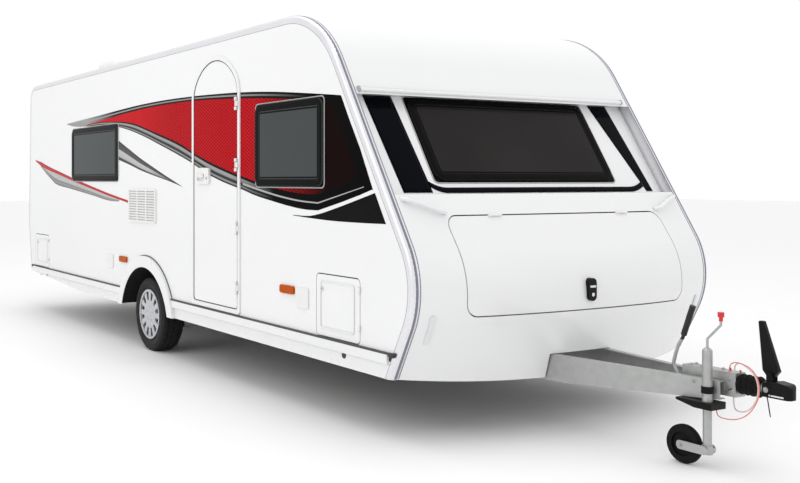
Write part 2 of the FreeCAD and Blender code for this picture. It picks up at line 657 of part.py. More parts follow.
# Locker lid and its two hinges: knuckles of the nose between knuckles of the lid
nose_panel = nose_shell.cut(lid_hole).cut(notch)
lid = nose_shell.common(prism("YZ", grown(lid_box, 0), lid_start, TIP_X))
LID_AXIS = (nose_at(0, s.lid_top) + s.panel_gap, s.lid_top + s.shut_gap / 2)
KNUCKLE_SHARE = 0.7
LID_HINGE_SHARE = 0.6
knuckle = s.hinge_pin * KNUCKLE_SHARE
for sign in (-1, 1):
    middle = sign * s.lid_half * LID_HINGE_SHARE
    surface = nose_at(middle, s.lid_top) - s.hinge_pin / 2
    reach = (surface, LID_AXIS[0])
    ends = (middle - 2 * s.hinge_pin, middle + 2 * s.hinge_pin)
    nose_panel = nose_panel.fuse([
        tube((LID_AXIS[0], ends[0], LID_AXIS[1]), (LID_AXIS[0], ends[1], LID_AXIS[1]), knuckle),
        box(reach, ends, (LID_AXIS[1], LID_AXIS[1] + s.hinge_pin))])
    for low, high in ((ends[0] - 4 * s.hinge_pin, ends[0] - s.panel_gap),
                      (ends[1] + s.panel_gap, ends[1] + 4 * s.hinge_pin)):
        lid = lid.fuse([
            tube((LID_AXIS[0], low, LID_AXIS[1]), (LID_AXIS[0], high, LID_AXIS[1]), knuckle),
            box(reach, (low, high), (LID_AXIS[1] - s.hinge_pin, LID_AXIS[1]))])
keep("nose_panel", nose_panel.removeSplitter())
keep("gas_locker_lid", lid.removeSplitter())

# Locker latch: a drop-shaped turn handle on the lid's lower edge
LATCH_SHARE = 0.85
END_SHARE = 0.476
latch_z = s.lid_bottom + s.latch_tall * LATCH_SHARE
latch_x = nose_at(0, latch_z)
latch = prism("YZ", rectangle(-s.latch_width / 2, s.latch_width / 2, latch_z - s.latch_tall / 2,
                              latch_z + s.latch_tall / 2, s.latch_width * END_SHARE),
              latch_x - s.nose_skin / 2, latch_x + s.latch_proud)
keep("locker_latch", latch.cut(nose_shell))

# Windows: acrylic panes, each a plug in its opening with a flange over the wall's face
panes = []
for side in SIDES.values():
    for area in WINDOWS:
        face = HALF + s.panel_gap
        pane = prism("XZ", grown(area, -s.glass_thick - s.glass_gap), *span(side, face, HALF - s.glass_thick))
        flange = prism("XZ", grown(area, 0), *span(side, face, HALF + s.glass_proud))
        step = span(side, HALF + s.glass_proud - s.glass_step, HALF + 2 * s.glass_proud)
        panes.append(pane.fuse(flange).cut(prism("XZ", grown(area, -s.glass_border), *step)))
keep("side_windows", Part.makeCompound(panes))


def pane_in(frame, half_tall, half_wide):
    """Pane for an opening in a frame: a plug in it and a flange over its rim."""
    plug = slab(frame, half_tall - s.glass_gap, half_wide - s.glass_gap, s.window_round - s.glass_gap,
                -s.glass_thick, s.panel_gap)
    wide = s.glass_thick
    pane = plug.fuse(slab(frame, half_tall + wide, half_wide + wide, s.window_round + wide,
                          s.panel_gap, s.glass_proud))
    inset = s.glass_border - wide
    return pane.cut(slab(frame, half_tall - inset, half_wide - inset, s.window_round - inset,
                         s.glass_proud - s.glass_step, 2 * s.glass_proud))


keep("front_window", pane_in(FRONT_FRAME, front_hole_long, s.front_glass_half))
TAIL_FRAME = facing(3, SHEET_GAP, (s.tail_glass_sill + s.tail_glass_head) / 2)
keep("rear_window", pane_in(TAIL_FRAME, (s.tail_glass_head - s.tail_glass_sill) / 2, s.tail_glass_half))

# Entrance door: arched slab in its frame, with a moulded handle and four hinges
door_y = -(HALF + s.frame_proud - s.shut_gap / 2)
frame_outer = -(HALF + s.frame_proud)
door_frame = prism("XZ", door_outline(s.door_frame), frame_outer, -(HALF + s.panel_gap))
door_frame = door_frame.cut(prism("XZ", door_outline(s.shut_gap), -LONG, LONG))
hinge_x = NOSE_X - s.door_front + s.shut_gap / 2
HINGE_Y = -(HALF + s.hinge_out)
HINGE_SHARES = [0.856, 0.6, 0.335, 0.087]
door_high = s.door_spring + s.door_rise - s.door_bottom
hinge_heights = [s.door_bottom + share * (door_high - s.door_rise / 3) for share in HINGE_SHARES]
door = prism("XZ", door_outline(0), door_y, -INNER)
knuckle = s.hinge_tall / 2 - s.shut_gap
for height in hinge_heights:
    low, high = height - knuckle / 2, height + knuckle / 2
    centre = tube((hinge_x, HINGE_Y, low), (hinge_x, HINGE_Y, high), s.hinge_pin)
    web = Part.makeBox(s.hinge_pin * 3, frame_outer - HINGE_Y, high - low,
                       Vector(hinge_x, HINGE_Y, low))
    web = web.cut(door)
    door_frame = door_frame.fuse([centre, web])
    for end, sign in ((low, -1), (high, 1)):
        base = end + sign * s.shut_gap / 2
        tip = height + sign * s.hinge_tall / 2
        bottom, top = sorted((base, tip))
        ear = tube((hinge_x, HINGE_Y, bottom), (hinge_x, HINGE_Y, top), s.hinge_pin)
        strap = Part.makeBox(s.hinge_pin * 3, door_y - HINGE_Y, top - bottom,
                             Vector(hinge_x - s.hinge_pin * 3, HINGE_Y, bottom))
        door = door.fuse([ear, strap])
keep("door_frame", door_frame.removeSplitter())
keep("entrance_door", door.removeSplitter())
door_back = NOSE_X - s.door_front - s.door_wide
GRIP_SHARES = {"back": 0.75, "front": 0.3, "low": 0.3, "high": 0.12, "deep": 0.6}
handle_x = door_back + s.handle_wide * GRIP_SHARES["back"]
handle_half = s.handle_wide / 2
plate_y = door_y - s.handle_proud
handle = prism("XZ", rectangle(handle_x - handle_half, handle_x + handle_half,
                               s.handle_height - s.handle_tall / 2, s.handle_height + s.handle_tall / 2,
                               s.handle_tall / 4), plate_y, door_y - s.panel_gap)
grip = prism("XZ", rectangle(handle_x - handle_half * GRIP_SHARES["back"],
                             handle_x + handle_half * GRIP_SHARES["front"],
                             s.handle_height - s.handle_tall * GRIP_SHARES["low"],
                             s.handle_height + s.handle_tall * GRIP_SHARES["high"], s.handle_tall / 8),
             plate_y - OVERRUN, plate_y + s.handle_proud * GRIP_SHARES["deep"])
keep("door_handle", handle.cut(grip))

# Service doors: flush plates, each hung on two knuckles at its front edge
EAR_SHARES = [0.2, 0.8]
for label, (side, area) in HATCHES.items():
    x0, x1, z0, z1, radius = area
    ear_heights = [z0 + (z1 - z0) * share for share in EAR_SHARES]
    low_y, high_y = sorted((side * HALF, side * (HALF - s.hatch_thick)))
    plate = prism("XZ", grown(area, 0), low_y, high_y)
    pin_y = side * (HALF + s.hinge_pin + s.panel_gap)
    for height in ear_heights:
        top = height + s.hinge_tall / 3
        ear = tube((x1 + s.shut_gap / 2, pin_y, height), (x1 + s.shut_gap / 2, pin_y, top),
                   math.hypot(s.shut_gap / 2, s.hinge_pin + s.panel_gap) - s.panel_gap)
        inner_y, outer_y = sorted((side * HALF, pin_y))
        strap = Part.makeBox(s.hinge_pin * 3, outer_y - inner_y, top - height,
                             Vector(x1 - s.hinge_pin * 3 + s.shut_gap / 2, inner_y, height))
        plate = plate.fuse([ear, strap.cut(tube((x1 + s.shut_gap / 2, 0, height - LONG),
                                                (x1 + s.shut_gap / 2, 0, top), s.panel_gap))])
    lock_y = side * (HALF + s.glass_thick / 4)
    lock = tube((x0 + s.handle_tall / 3, side * (HALF - s.hatch_thick / 2), ear_heights[1]),
                (x0 + s.handle_tall / 3, lock_y, ear_heights[1]), s.hatch_round / 2)
    keep(label, plate.fuse(lock).removeSplitter())


DOME_SHARE = 0.6


def dome_at(x, y, half, tall, plug_foot):
    """Square roof dome with a rounded lid, and a plug down through its opening if it has one."""
    rim = prism("XY", rectangle(x - half - s.hatch_round, x + half + s.hatch_round,
                                y - half - s.hatch_round, y + half + s.hatch_round, 2 * s.hatch_round),
                s.roof_height, s.roof_height + tall)
    top = [edge for edge in rim.Edges if edge.BoundBox.ZMin > s.roof_height + tall - s.panel_gap]
    rim = rim.makeFillet(tall * DOME_SHARE, top)
    if plug_foot is None:
        return rim
    plug = prism("XY", rectangle(x - half, x + half, y - half, y + half, s.hatch_round),
                 plug_foot, s.roof_height + tall / 4)
    return rim.fuse(plug).removeSplitter()


GRAB_SHARES = [(0.72, 0.1), (0.74, 0.25), (0.84, 1.1), (0.91, 1.6), (0.93, 1.7)]
STAND_SHARE = 2.4


# Small fittings on the walls: fridge vent, service flaps, marker lamps, rear lamps, bumper
vent = prism("XZ", grown(VENT, s.vent_proud), *span(-1, HALF + s.panel_gap, HALF + s.vent_proud))
rows = int(s.vent_rows)
columns = 3
pitch_z = (s.vent_top - s.vent_bottom) / rows
pitch_x = s.vent_wide / columns
slots = []
for row in range(rows):
    for column in range(columns):
        x = VENT[0] + pitch_x * column
        z = VENT[2] + pitch_z * (row + 0.5)
        slots.append(prism("XZ", rectangle(x + s.vent_slot, x + pitch_x - s.vent_slot, z - s.vent_slot / 2,
                                           z + s.vent_slot / 2, s.vent_slot / 3), -LONG, 0))
keep("fridge_vent", vent.cut(Part.makeCompound(slots)))
flap_half = s.flap_wide / 2
FLAP_SHARES = {"up": 1.6, "rear": 2.2, "front": 4.2}
MARKER_SHARES = {"up": 1.9, "front": 5.4}
flap_height = s.hatch_bottom + FLAP_SHARES["up"] * s.flap_tall
flaps = []
for x in (AXLE_X - s.arch_radius - FLAP_SHARES["rear"] * s.flap_wide,
          NOSE_X - s.front_hatch_set - FLAP_SHARES["front"] * s.flap_wide):
    flaps.append(prism("XZ", rectangle(x - flap_half, x + flap_half, flap_height - s.flap_tall / 2,
                                       flap_height + s.flap_tall / 2, s.hatch_round / 2),
                       *span(-1, HALF + s.panel_gap, HALF + s.flap_proud)))
keep("service_flaps", Part.makeCompound(flaps))
markers = []
marker_height = s.hatch_bottom + MARKER_SHARES["up"] * s.flap_tall
for side in SIDES.values():
    for x in (AXLE_X - s.arch_radius,
              NOSE_X - s.front_hatch_set - MARKER_SHARES["front"] * s.flap_wide):
        markers.append(prism("XZ", rectangle(x - s.marker_wide / 2, x + s.marker_wide / 2,
                                             marker_height - s.marker_tall / 2,
                                             marker_height + s.marker_tall / 2, s.marker_tall / 3),
                             *span(side, HALF + s.panel_gap, HALF + s.marker_proud)))
for side in SIDES.values():
    lens = prism("YZ", rectangle(side * s.front_lamp_y - s.front_lamp_wide / 2,
                                 side * s.front_lamp_y + s.front_lamp_wide / 2,
                                 s.front_lamp_height - s.front_lamp_tall / 2,
                                 s.front_lamp_height + s.front_lamp_tall / 2,
                                 s.front_lamp_wide * END_SHARE),
                 lid_start, TIP_X)
    grown_nose = nose_shell.copy()
    grown_nose.translate(Vector(s.flap_proud, 0, 0))
    close_nose = nose_shell.copy()
    close_nose.translate(Vector(s.panel_gap, 0, 0))
    lens = lens.common(grown_nose).cut(close_nose)
    markers.append(max(lens.Solids, key=lambda solid: solid.BoundBox.XMax))
keep("marker_lamps", Part.makeCompound(markers))
low_frame = facing(4, 0, s.floor_bottom + s.bumper_tall / 2 + s.shut_gap)
bumper = slab(low_frame, s.bumper_tall / 2, BETWEEN, s.trim_round, s.panel_gap, s.bumper_proud)
keep("rear_bumper", bumper)
lamp_frame = facing(4, 0, s.floor_bottom + s.bumper_tall + s.lamp_tall / 2 + 3 * s.shut_gap)
rear_lamps = []
for side in SIDES.values():
    rear_lamps.append(slab(lamp_frame, s.lamp_tall / 2, s.lamp_wide / 2, s.trim_round, s.panel_gap,
                           s.lamp_proud, side * (BETWEEN - s.lamp_wide / 2 - s.trim_face)))
keep("rear_lamps", Part.makeCompound(rear_lamps))

# Roof: two opening-sized hatch domes and a tall vent dome, each a plug and a domed lid
domes = []
for x, size in hatch_places:
    half = size / 2 - s.glass_gap
    domes.append(dome_at(x, 0, half, s.dome_tall, roof_top - s.wall_thick))
keep("roof_hatches", Part.makeCompound(domes))
keep("roof_vent", dome_at(AXLE_X - s.stack_ahead + s.stack_wide, -s.stack_y, s.stack_wide / 2,
                          s.stack_tall, None))

# Grab handles: bent bars over the nose's upper corners
grabs = []
grab_low = s.lid_top + s.grab_radius
for side in SIDES.values():
    route = []
    for share, rise in GRAB_SHARES:
        y = HALF * share
        z = grab_low + rise * s.trim_face
        stand = 0 if share in (GRAB_SHARES[0][0], GRAB_SHARES[-1][0]) else STAND_SHARE * s.grab_radius
        route.append((nose_at(y, z) + stand, side * y, z))
    bar = rod(route, s.grab_radius, 2 * s.grab_radius)
    behind = nose_shell.copy()
    behind.translate(Vector(s.panel_gap, 0, 0))
    bar = bar.cut(behind)
    grabs.append(max(bar.Solids, key=lambda solid: solid.BoundBox.XMax))
keep("grab_handles", Part.makeCompound(grabs))

# Chassis: two channel members that run forward from the rear and close into the drawbar
member_top = s.floor_bottom - s.panel_gap
member_foot = member_top - s.member_tall
member_start = REAR_X + s.member_back
bend_x = AXLE_X + s.bend_ahead
drawbar_x = TIP_X - s.drawbar_tip
taper_x = NOSE_X + s.member_tall
closing = (s.member_y - s.drawbar_half) / (drawbar_x - bend_x)
member_half = s.member_wide / 2


def member_y(x):
    """Centre line of a member: parallel to the side, then closing in towards the coupling."""
    return s.member_y - max(0, x - bend_x) * closing


def member_plan(side, outside, inside):
    """Plan outline of a member between two offsets from its centre line."""
    path = [(member_start, s.member_y), (bend_x, s.member_y), (drawbar_x, s.drawbar_half)]
    outer = [(x, side * (y + outside), 0) for x, y in path]
    inner = [(x, side * (y - inside), 0) for x, y in path]
    return outer + inner[::-1]


def member_side(web):
    """Side outline of a member with its flanges taken off: its foot rises towards the coupling."""
    return [(member_start - web, member_foot + web, 0), (taper_x, member_foot + web, 0),
            (drawbar_x + web, member_top - s.drawbar_thin + web, 0),
            (drawbar_x + web, member_top - web, 0), (member_start - web, member_top - web, 0)]


for name, side in SIDES.items():
    beam = prism("XY", member_plan(side, member_half, member_half), 0, LONG)
    beam = beam.common(prism("XZ", member_side(0), -LONG, LONG))
    hollow = prism("XY", member_plan(side, member_half - s.member_web, member_half + s.member_web), 0, LONG)
    beam = beam.cut(hollow.common(prism("XZ", member_side(s.member_web), -LONG, LONG)))
    keep("chassis_member_" + name, beam)

# Cross members between the two long members, and outriggers out to the skirts
cross = []
CROSS_SHARES = [0.004, 0.31, 0.48, 0.83, 0.985]
inner = s.member_y + member_half - s.member_web - s.panel_gap
reach = s.member_y + member_half + s.panel_gap
low = member_top - s.member_web - s.panel_gap - s.cross_deep
for share in CROSS_SHARES:
    x = member_start + (bend_x - member_start) * share
    ends = (x, x + s.cross_deep)
    cross.append(box(ends, (-inner, inner), (low, low + s.cross_deep)))
    for side in SIDES.values():
        cross.append(box(ends, span(side, reach, HALF - s.skirt_thick - s.panel_gap),
                         (member_top - s.cross_deep, member_top)))
keep("cross_members", Part.makeCompound(cross))

# Axle: a tube under the members, with a trailing arm and a stub shaft at each end
axle_x = AXLE_X + s.arm_reach
axle_z = member_foot - s.panel_gap - s.axle_tube_half
hub_face = HALF - s.wheel_inset
arm_out = hub_face - s.tyre_wide - s.arm_thick
arm_in = arm_out - s.arm_thick
axle = tube((axle_x, -arm_in + s.panel_gap, axle_z), (axle_x, arm_in - s.panel_gap, axle_z),
            s.axle_tube_half)
SEAT_SHARE = 1.5
STUB_END_SHARE = 0.8
seats = []
for side in SIDES.values():
    seats.append(box((axle_x - SEAT_SHARE * s.axle_tube_half, axle_x + SEAT_SHARE * s.axle_tube_half),
                     span(side, s.member_y - member_half, s.member_y + member_half),
                     (axle_z, axle_z + s.axle_tube_half)))
keep("axle_tube", axle.fuse(seats).removeSplitter())
arms = []
for side in SIDES.values():
    near, far = span(side, arm_in, arm_out)
    bosses = []
    corners = []
    along = Vector(AXLE_X - axle_x, s.tyre_radius - axle_z, 0)
    along.normalize()
    across = Vector(-along.y, along.x, 0)
    for x, z, radius in ((axle_x, axle_z, s.axle_tube_half),
                         (AXLE_X, s.tyre_radius, s.axle_tube_half * STUB_END_SHARE)):
        bosses.append(tube((x, near, z), (x, far, z), radius))
        corners.append(Vector(x, z, 0) + across * radius)
        corners.append(Vector(x, z, 0) - across * radius)
    corners = [corners[0], corners[2], corners[3], corners[1]]
    web = prism("XZ", [(point.x, point.y, 0) for point in corners], near, far)
    stub = tube((AXLE_X, side * arm_in, s.tyre_radius),
                (AXLE_X, side * (hub_face - s.tyre_wide / 5), s.tyre_radius), s.stub_radius)
    arms.append(bosses[0].fuse([bosses[1], web, stub]).removeSplitter())
keep("swing_arms", Part.makeCompound(arms))

# Road wheels: tyre, and a pressed rim with its brake drum under a full cover
WHEEL_SHARES = {"bead": 0.92, "seat": 0.08, "skin": 0.05, "drum": 0.8, "shoulder": 0.08, "tread": 0.05,
                "flange": 1.04, "bulge": 0.88, "dish": 0.88, "lip": 0.91, "floor": 0.18, "spoke": 0.9,
                "nut": 1.5}
bead = s.rim_radius * WHEEL_SHARES["bead"]
seat_in = s.tyre_wide * WHEEL_SHARES["seat"]
skin = s.rim_radius * WHEEL_SHARES["skin"]
bore = s.stub_radius + s.running_gap
drum_back = s.tyre_wide + WHEEL_SHARES["drum"] * s.arm_thick
shoulder = s.tyre_radius * WHEEL_SHARES["shoulder"]
tread = s.tyre_radius * WHEEL_SHARES["tread"]
flange = s.rim_radius * WHEEL_SHARES["flange"]
bulge = s.tyre_radius * WHEEL_SHARES["bulge"]
for name, side in SIDES.items():
    face = (AXLE_X, side * hub_face, s.tyre_radius)
    tyre = [(bead, seat_in, 0), (flange, seat_in, 0), (bulge, 0, shoulder),
            (s.tyre_radius, seat_in, tread), (s.tyre_radius, s.tyre_wide - seat_in, tread),
            (bulge, s.tyre_wide, shoulder), (flange, s.tyre_wide - seat_in, 0),
            (bead, s.tyre_wide - seat_in, 0)]
    keep("tyre_" + name, spun(tyre, face, (0, -side, 0)))
    rim_in = bead - s.panel_gap
    dish = skin + s.cover_dish
    rim = [(0, skin, 0), (s.cover_disc, skin, 0), (s.cover_disc + skin / 2, dish, 0),
           (s.rim_radius * WHEEL_SHARES["dish"], dish, 0),
           (s.rim_radius * WHEEL_SHARES["lip"], skin / 2, 0),
           (s.rim_radius, skin / 2, 0), (s.rim_radius, seat_in - s.panel_gap, 0),
           (rim_in, seat_in - s.panel_gap, 0), (rim_in, s.tyre_wide - seat_in, 0),
           (bead - skin, s.tyre_wide - seat_in, 0), (bead - skin, dish + skin, 0),
           (s.drum_radius, dish + skin, 0), (s.drum_radius, drum_back, 0), (bore, drum_back, 0),
           (bore, s.tyre_wide * WHEEL_SHARES["floor"], 0), (0, s.tyre_wide * WHEEL_SHARES["floor"], 0)]
    wheel = spun(rim, face, (0, -side, 0))
    spokes = []
    spoke_low = s.tyre_radius + s.cover_disc - skin
    spoke_high = s.tyre_radius + s.rim_radius * WHEEL_SHARES["spoke"]
    for turn in range(int(s.spoke_count)):
        spoke = prism("XZ", [(AXLE_X - s.spoke_root, spoke_low, 0), (AXLE_X + s.spoke_root, spoke_low, 0),
                             (AXLE_X + s.spoke_end, spoke_high, 0), (AXLE_X - s.spoke_end, spoke_high, 0)],
                      *span(side, hub_face - skin, hub_face - dish - skin / 2))
        spoke.rotate(Vector(*face), Vector(0, 1, 0), 360 * turn / s.spoke_count)
        spokes.append(spoke)
    wheel = wheel.fuse(spokes)
    for turn in range(int(s.nut_count)):
        half = s.nut_size / 2
        height = s.tyre_radius + s.nut_ring
        nut = prism("XZ", rectangle(AXLE_X - half, AXLE_X + half, height - half, height + half),
                    *span(side, hub_face, hub_face - WHEEL_SHARES["nut"] * skin))
        nut.rotate(Vector(AXLE_X, 0, height), Vector(0, 1, 0), 45)
        nut.rotate(Vector(*face), Vector(0, 1, 0), 360 * turn / s.nut_count)
        wheel = wheel.cut(nut)
    keep("rim_" + name, wheel.removeSplitter())

# Overrun housing: box between the drawbar's tips with the draw shaft and the handbrake's yoke
shaft_z = s.coupling_height
housing_front = drawbar_x + s.housing_ahead
housing_back = housing_front - s.housing_long
housing_top = member_top + s.housing_up
housing_foot = member_top - s.member_tall / 2
head_back = TIP_X - s.head_long
housing = box((housing_back, housing_front), (-s.housing_half, s.housing_half),
              (housing_foot, housing_top))
housing = housing.fuse(tube((housing_back, 0, shaft_z), (head_back - s.panel_gap, 0, shaft_z),
                            s.draw_radius))
brake_x = TIP_X - s.brake_set
brake_z = s.brake_height
yoke_in = s.brake_radius + s.shut_gap / 2
yoke_tall = 2 * s.brake_pin
for side in SIDES.values():
    housing = housing.fuse(prism("XZ", [(brake_x - yoke_tall, brake_z - yoke_tall, s.brake_pin),
                                        (housing_back + yoke_tall, brake_z - yoke_tall, 0),
                                        (housing_back + yoke_tall, brake_z + yoke_tall, 0),
                                        (brake_x - yoke_tall, brake_z + yoke_tall, s.brake_pin)],
                                 *span(side, yoke_in, yoke_in + 2 * s.fork_plate)))
housing = housing.fuse(tube((brake_x, -yoke_in - s.fork_plate, brake_z),
                            (brake_x, yoke_in + s.fork_plate, brake_z), s.brake_pin))
for side in SIDES.values():
    housing = housing.fuse(box((drawbar_x - 4 * s.housing_half, drawbar_x - s.fork_plate),
                               span(side, s.housing_half - s.fork_plate,
                                    s.drawbar_half - member_half - s.panel_gap),
                               (shaft_z - s.housing_half, shaft_z - s.fork_plate)))
keep("overrun_housing", housing.removeSplitter())

# Overrun bellows: pleated gaiter over the draw shaft
BELLOWS_RIBS = 4
FOLD_SHARE = 0.8
pitch = s.bellows_long / BELLOWS_RIBS
inside = s.draw_radius + s.panel_gap
pleats = [(inside, s.panel_gap, 0)]
for rib in range(BELLOWS_RIBS):
    pleats.append((s.bellows_radius * FOLD_SHARE, s.panel_gap + pitch * rib, 0))
    pleats.append((s.bellows_radius, s.panel_gap + pitch * (rib + 0.5), s.fork_plate))
pleats.append((s.bellows_radius * FOLD_SHARE, s.panel_gap + s.bellows_long, 0))
pleats.append((inside, s.panel_gap + s.bellows_long, 0))
keep("overrun_bellows", spun(pleats, (housing_front, 0, shaft_z), (1, 0, 0)))

# Coupling head: shell over the tow ball, with two ears for the stabiliser lever
head_half = s.head_half
ball_x = TIP_X - head_half - s.fork_plate
stay_x = TIP_X - s.stay_set
stay_z = shaft_z + s.stay_up
HEAD_SHARES = {"brow": 0.9, "crown": 1.3, "crown_round": 0.5, "ear": 2.5}
brow = head_half * HEAD_SHARES["brow"]
head = prism("XZ", [(head_back, shaft_z - head_half, 0), (TIP_X, shaft_z - head_half, s.fork_plate),
                    (TIP_X, shaft_z + head_half, brow),
                    (ball_x - head_half, shaft_z + head_half * HEAD_SHARES["crown"],
                     head_half * HEAD_SHARES["crown_round"]),
                    (head_back, shaft_z + head_half, 0)], -head_half, head_half)
head = head.common(prism("XY", [(head_back, -head_half, 0), (TIP_X, -head_half, brow),
                                (TIP_X, head_half, brow), (head_back, head_half, 0)], 0, LONG))
head = head.cut(tube((ball_x, 0, 0), (ball_x, 0, shaft_z - head_half + s.ball_depth), s.ball_radius))
stay_half = s.stay_width / 2
ear_in = stay_half + s.shut_gap / 2
ear_x = HEAD_SHARES["ear"] * s.brake_pin
for side in SIDES.values():
    head = head.fuse(prism("XZ", [(stay_x - ear_x, shaft_z, 0), (stay_x + ear_x, shaft_z, 0),
                                  (stay_x + ear_x, stay_z + 2 * s.brake_pin, s.brake_pin),
                                  (stay_x - ear_x, stay_z + 2 * s.brake_pin, s.brake_pin)],
                           *span(side, ear_in, ear_in + s.fork_plate)))
reach = ear_in + s.fork_plate / 2
head = head.fuse(tube((stay_x, -reach, stay_z), (stay_x, reach, stay_z), s.brake_pin))
keep("coupling_head", head.removeSplitter())

# Stabiliser lever: broad at its pin, narrowing to its tip
STAY_SHARES = {"lean": 0.2, "foot_round": 0.8, "long_edge": 0.6, "bevel": 0.15}
base = s.stay_base / 2
foot_round = stay_half * STAY_SHARES["foot_round"]
tip_x = stay_x - s.stay_long * STAY_SHARES["lean"]
tip_z = stay_z + s.stay_long
low = stay_z + base / 2
lever = prism("XZ", [(stay_x - stay_half, stay_z - stay_half, foot_round),
                     (stay_x + stay_half, stay_z - stay_half, foot_round), (stay_x + base, low, 0),
                     (tip_x + stay_half, tip_z, stay_half / 2), (tip_x - stay_half, tip_z, stay_half / 2),
                     (stay_x - base, low, 0)], -stay_half, stay_half)
long_edges = [edge for edge in lever.Edges if edge.Length > STAY_SHARES["long_edge"] * s.stay_long]
lever = lever.makeChamfer(STAY_SHARES["bevel"] * s.stay_width, long_edges)
bore = s.brake_pin + s.running_gap
keep("coupling_lever", lever.cut(tube((stay_x, -LONG, stay_z), (stay_x, LONG, stay_z), bore)))

# Handbrake lever: an eye on its pin, a bent bar and a thicker grip
unit = s.brake_grip
BRAKE_SHARES = [(-0.2, 0.4), (-2.2, 4), (-1.1, 8), (0, 11), (1.6, 13.5), (2.2, 15.2)]
GRIP_LONG_SHARE = 10.4
EYE_SHARE = 1.15
BEND_SHARE = 5
route = [(brake_x + a * unit, 0, brake_z + b * unit) for a, b in BRAKE_SHARES]
lever = rod(route, s.brake_radius, BEND_SHARE * s.brake_radius)
start, end = Vector(*route[-2]), Vector(*route[-1])
along = end - start
along.normalize()
grip_end = end + along * unit * GRIP_LONG_SHARE
lever = lever.fuse(tube(end - along * s.brake_radius, grip_end, s.brake_grip))
eye = EYE_SHARE * s.brake_radius
lever = lever.fuse(tube((brake_x, -eye, brake_z), (brake_x, eye, brake_z), 2 * s.brake_pin))
lever = lever.cut(tube((brake_x, -LONG, brake_z), (brake_x, LONG, brake_z), bore))
keep("handbrake_lever", lever.removeSplitter())

# Jockey wheel: clamp under the drawbar, sleeve with its crank, sliding stem, fork and wheel
jockey_x = TIP_X - s.jockey_set
jockey_y = -s.jockey_y
clamp_top = member_foot + (drawbar_x - s.clamp_long - taper_x) / (drawbar_x - taper_x) * (
    s.member_tall - s.drawbar_thin) - s.panel_gap
clamp_back = drawbar_x - s.clamp_long
clamp_foot = clamp_top - s.clamp_tall
wide = 2 * s.jockey_tube
CLAMP_SHARE = 0.8
clamp = prism("XZ", [(clamp_back, clamp_top, 0), (clamp_back, clamp_top - s.clamp_tall / 3, 0),
                     (jockey_x - wide, clamp_foot, 0), (jockey_x + wide, clamp_foot, 0),
                     (drawbar_x + s.fork_plate, clamp_top - s.clamp_tall / 3, 0),
                     (drawbar_x + s.fork_plate, clamp_top, 0)],
              jockey_y - wide * CLAMP_SHARE, -s.drawbar_half + member_half)
collar_z = (member_top - s.drawbar_thin / 2 - s.clamp_tall / 2, member_top - s.drawbar_thin / 2
            + s.clamp_tall / 2)
collar = tube((jockey_x, jockey_y, collar_z[0]), (jockey_x, jockey_y, collar_z[1]),
              s.jockey_tube + s.fork_plate)
collar = collar.cut(prism("XY", member_plan(-1, member_half + s.panel_gap, s.member_y), 0, LONG))
hole = tube((jockey_x, jockey_y, 0), (jockey_x, jockey_y, LONG), s.jockey_tube + s.panel_gap)
keep("jockey_clamp", Part.makeCompound([clamp.cut(hole), collar.cut(hole)]))
sleeve = tube((jockey_x, jockey_y, s.sleeve_foot), (jockey_x, jockey_y, s.jockey_top), s.jockey_tube)
cap = Part.makeCone(s.jockey_tube, s.jockey_tube / 2, s.jockey_tube / 2,
                    Vector(jockey_x, jockey_y, s.jockey_top))
sleeve = sleeve.fuse(cap).cut(tube((jockey_x, jockey_y, 0),
                                   (jockey_x, jockey_y, s.jockey_top - s.fork_plate),
                                   s.jockey_stem + s.panel_gap / 3))
keep("jockey_tube", sleeve.removeSplitter())
crank_z = s.jockey_top + s.jockey_tube / 2 + s.panel_gap
CRANK_SHARES = {"throw": 3.1, "elbow": 1.8, "shoulder": 5, "top": 6, "neck": 0.6, "knob": 1.6}
knob_x = jockey_x + CRANK_SHARES["throw"] * s.jockey_tube
route = [(jockey_x, jockey_y, crank_z),
         (jockey_x, jockey_y, crank_z + CRANK_SHARES["elbow"] * s.jockey_tube),
         (knob_x, jockey_y, crank_z + CRANK_SHARES["shoulder"] * s.jockey_tube),
         (knob_x, jockey_y, crank_z + CRANK_SHARES["top"] * s.jockey_tube)]
crank = rod(route, s.brake_pin, 2 * s.brake_pin)
knob_z = route[-1][2]
neck_top = knob_z + CRANK_SHARES["neck"] * s.jockey_tube
knob_top = knob_z + CRANK_SHARES["knob"] * s.jockey_tube
knob = tube((knob_x, jockey_y, knob_z - s.brake_pin), (knob_x, jockey_y, neck_top), s.brake_radius)
knob = knob.fuse(tube((knob_x, jockey_y, neck_top), (knob_x, jockey_y, knob_top), s.brake_grip))
keep("jockey_crank", crank.fuse(knob).removeSplitter())
wheel_z = s.jockey_radius
wheel_x = jockey_x - s.jockey_trail
low, high = wheel_z - s.collar_tall / 2, wheel_z + s.collar_tall / 2
stem_top = s.jockey_top - s.member_tall
keep("jockey_stem", tube((jockey_x, jockey_y, low), (jockey_x, jockey_y, stem_top), s.jockey_stem))
collar_out = s.jockey_stem + s.fork_plate
fork = tube((jockey_x, jockey_y, low), (jockey_x, jockey_y, high), collar_out)
cheek = s.jockey_wide / 2 + s.shut_gap
plates = []
for side in SIDES.values():
    near, far = span(side, cheek, cheek + s.fork_plate)
    plates.append(prism("XZ", rectangle(wheel_x - s.jockey_stem, jockey_x + s.jockey_stem, low, high,
                                        s.collar_tall / 2.2), jockey_y + near, jockey_y + far))
plates.append(box((jockey_x - s.jockey_stem, jockey_x + s.jockey_stem),
                  (jockey_y - cheek - s.fork_plate, jockey_y + cheek + s.fork_plate),
                  (wheel_z - s.jockey_stem / 2, wheel_z + s.jockey_stem / 2)))
plates.append(tube((wheel_x, jockey_y - cheek - s.fork_plate, wheel_z),
                   (wheel_x, jockey_y + cheek + s.fork_plate, wheel_z), s.brake_pin))
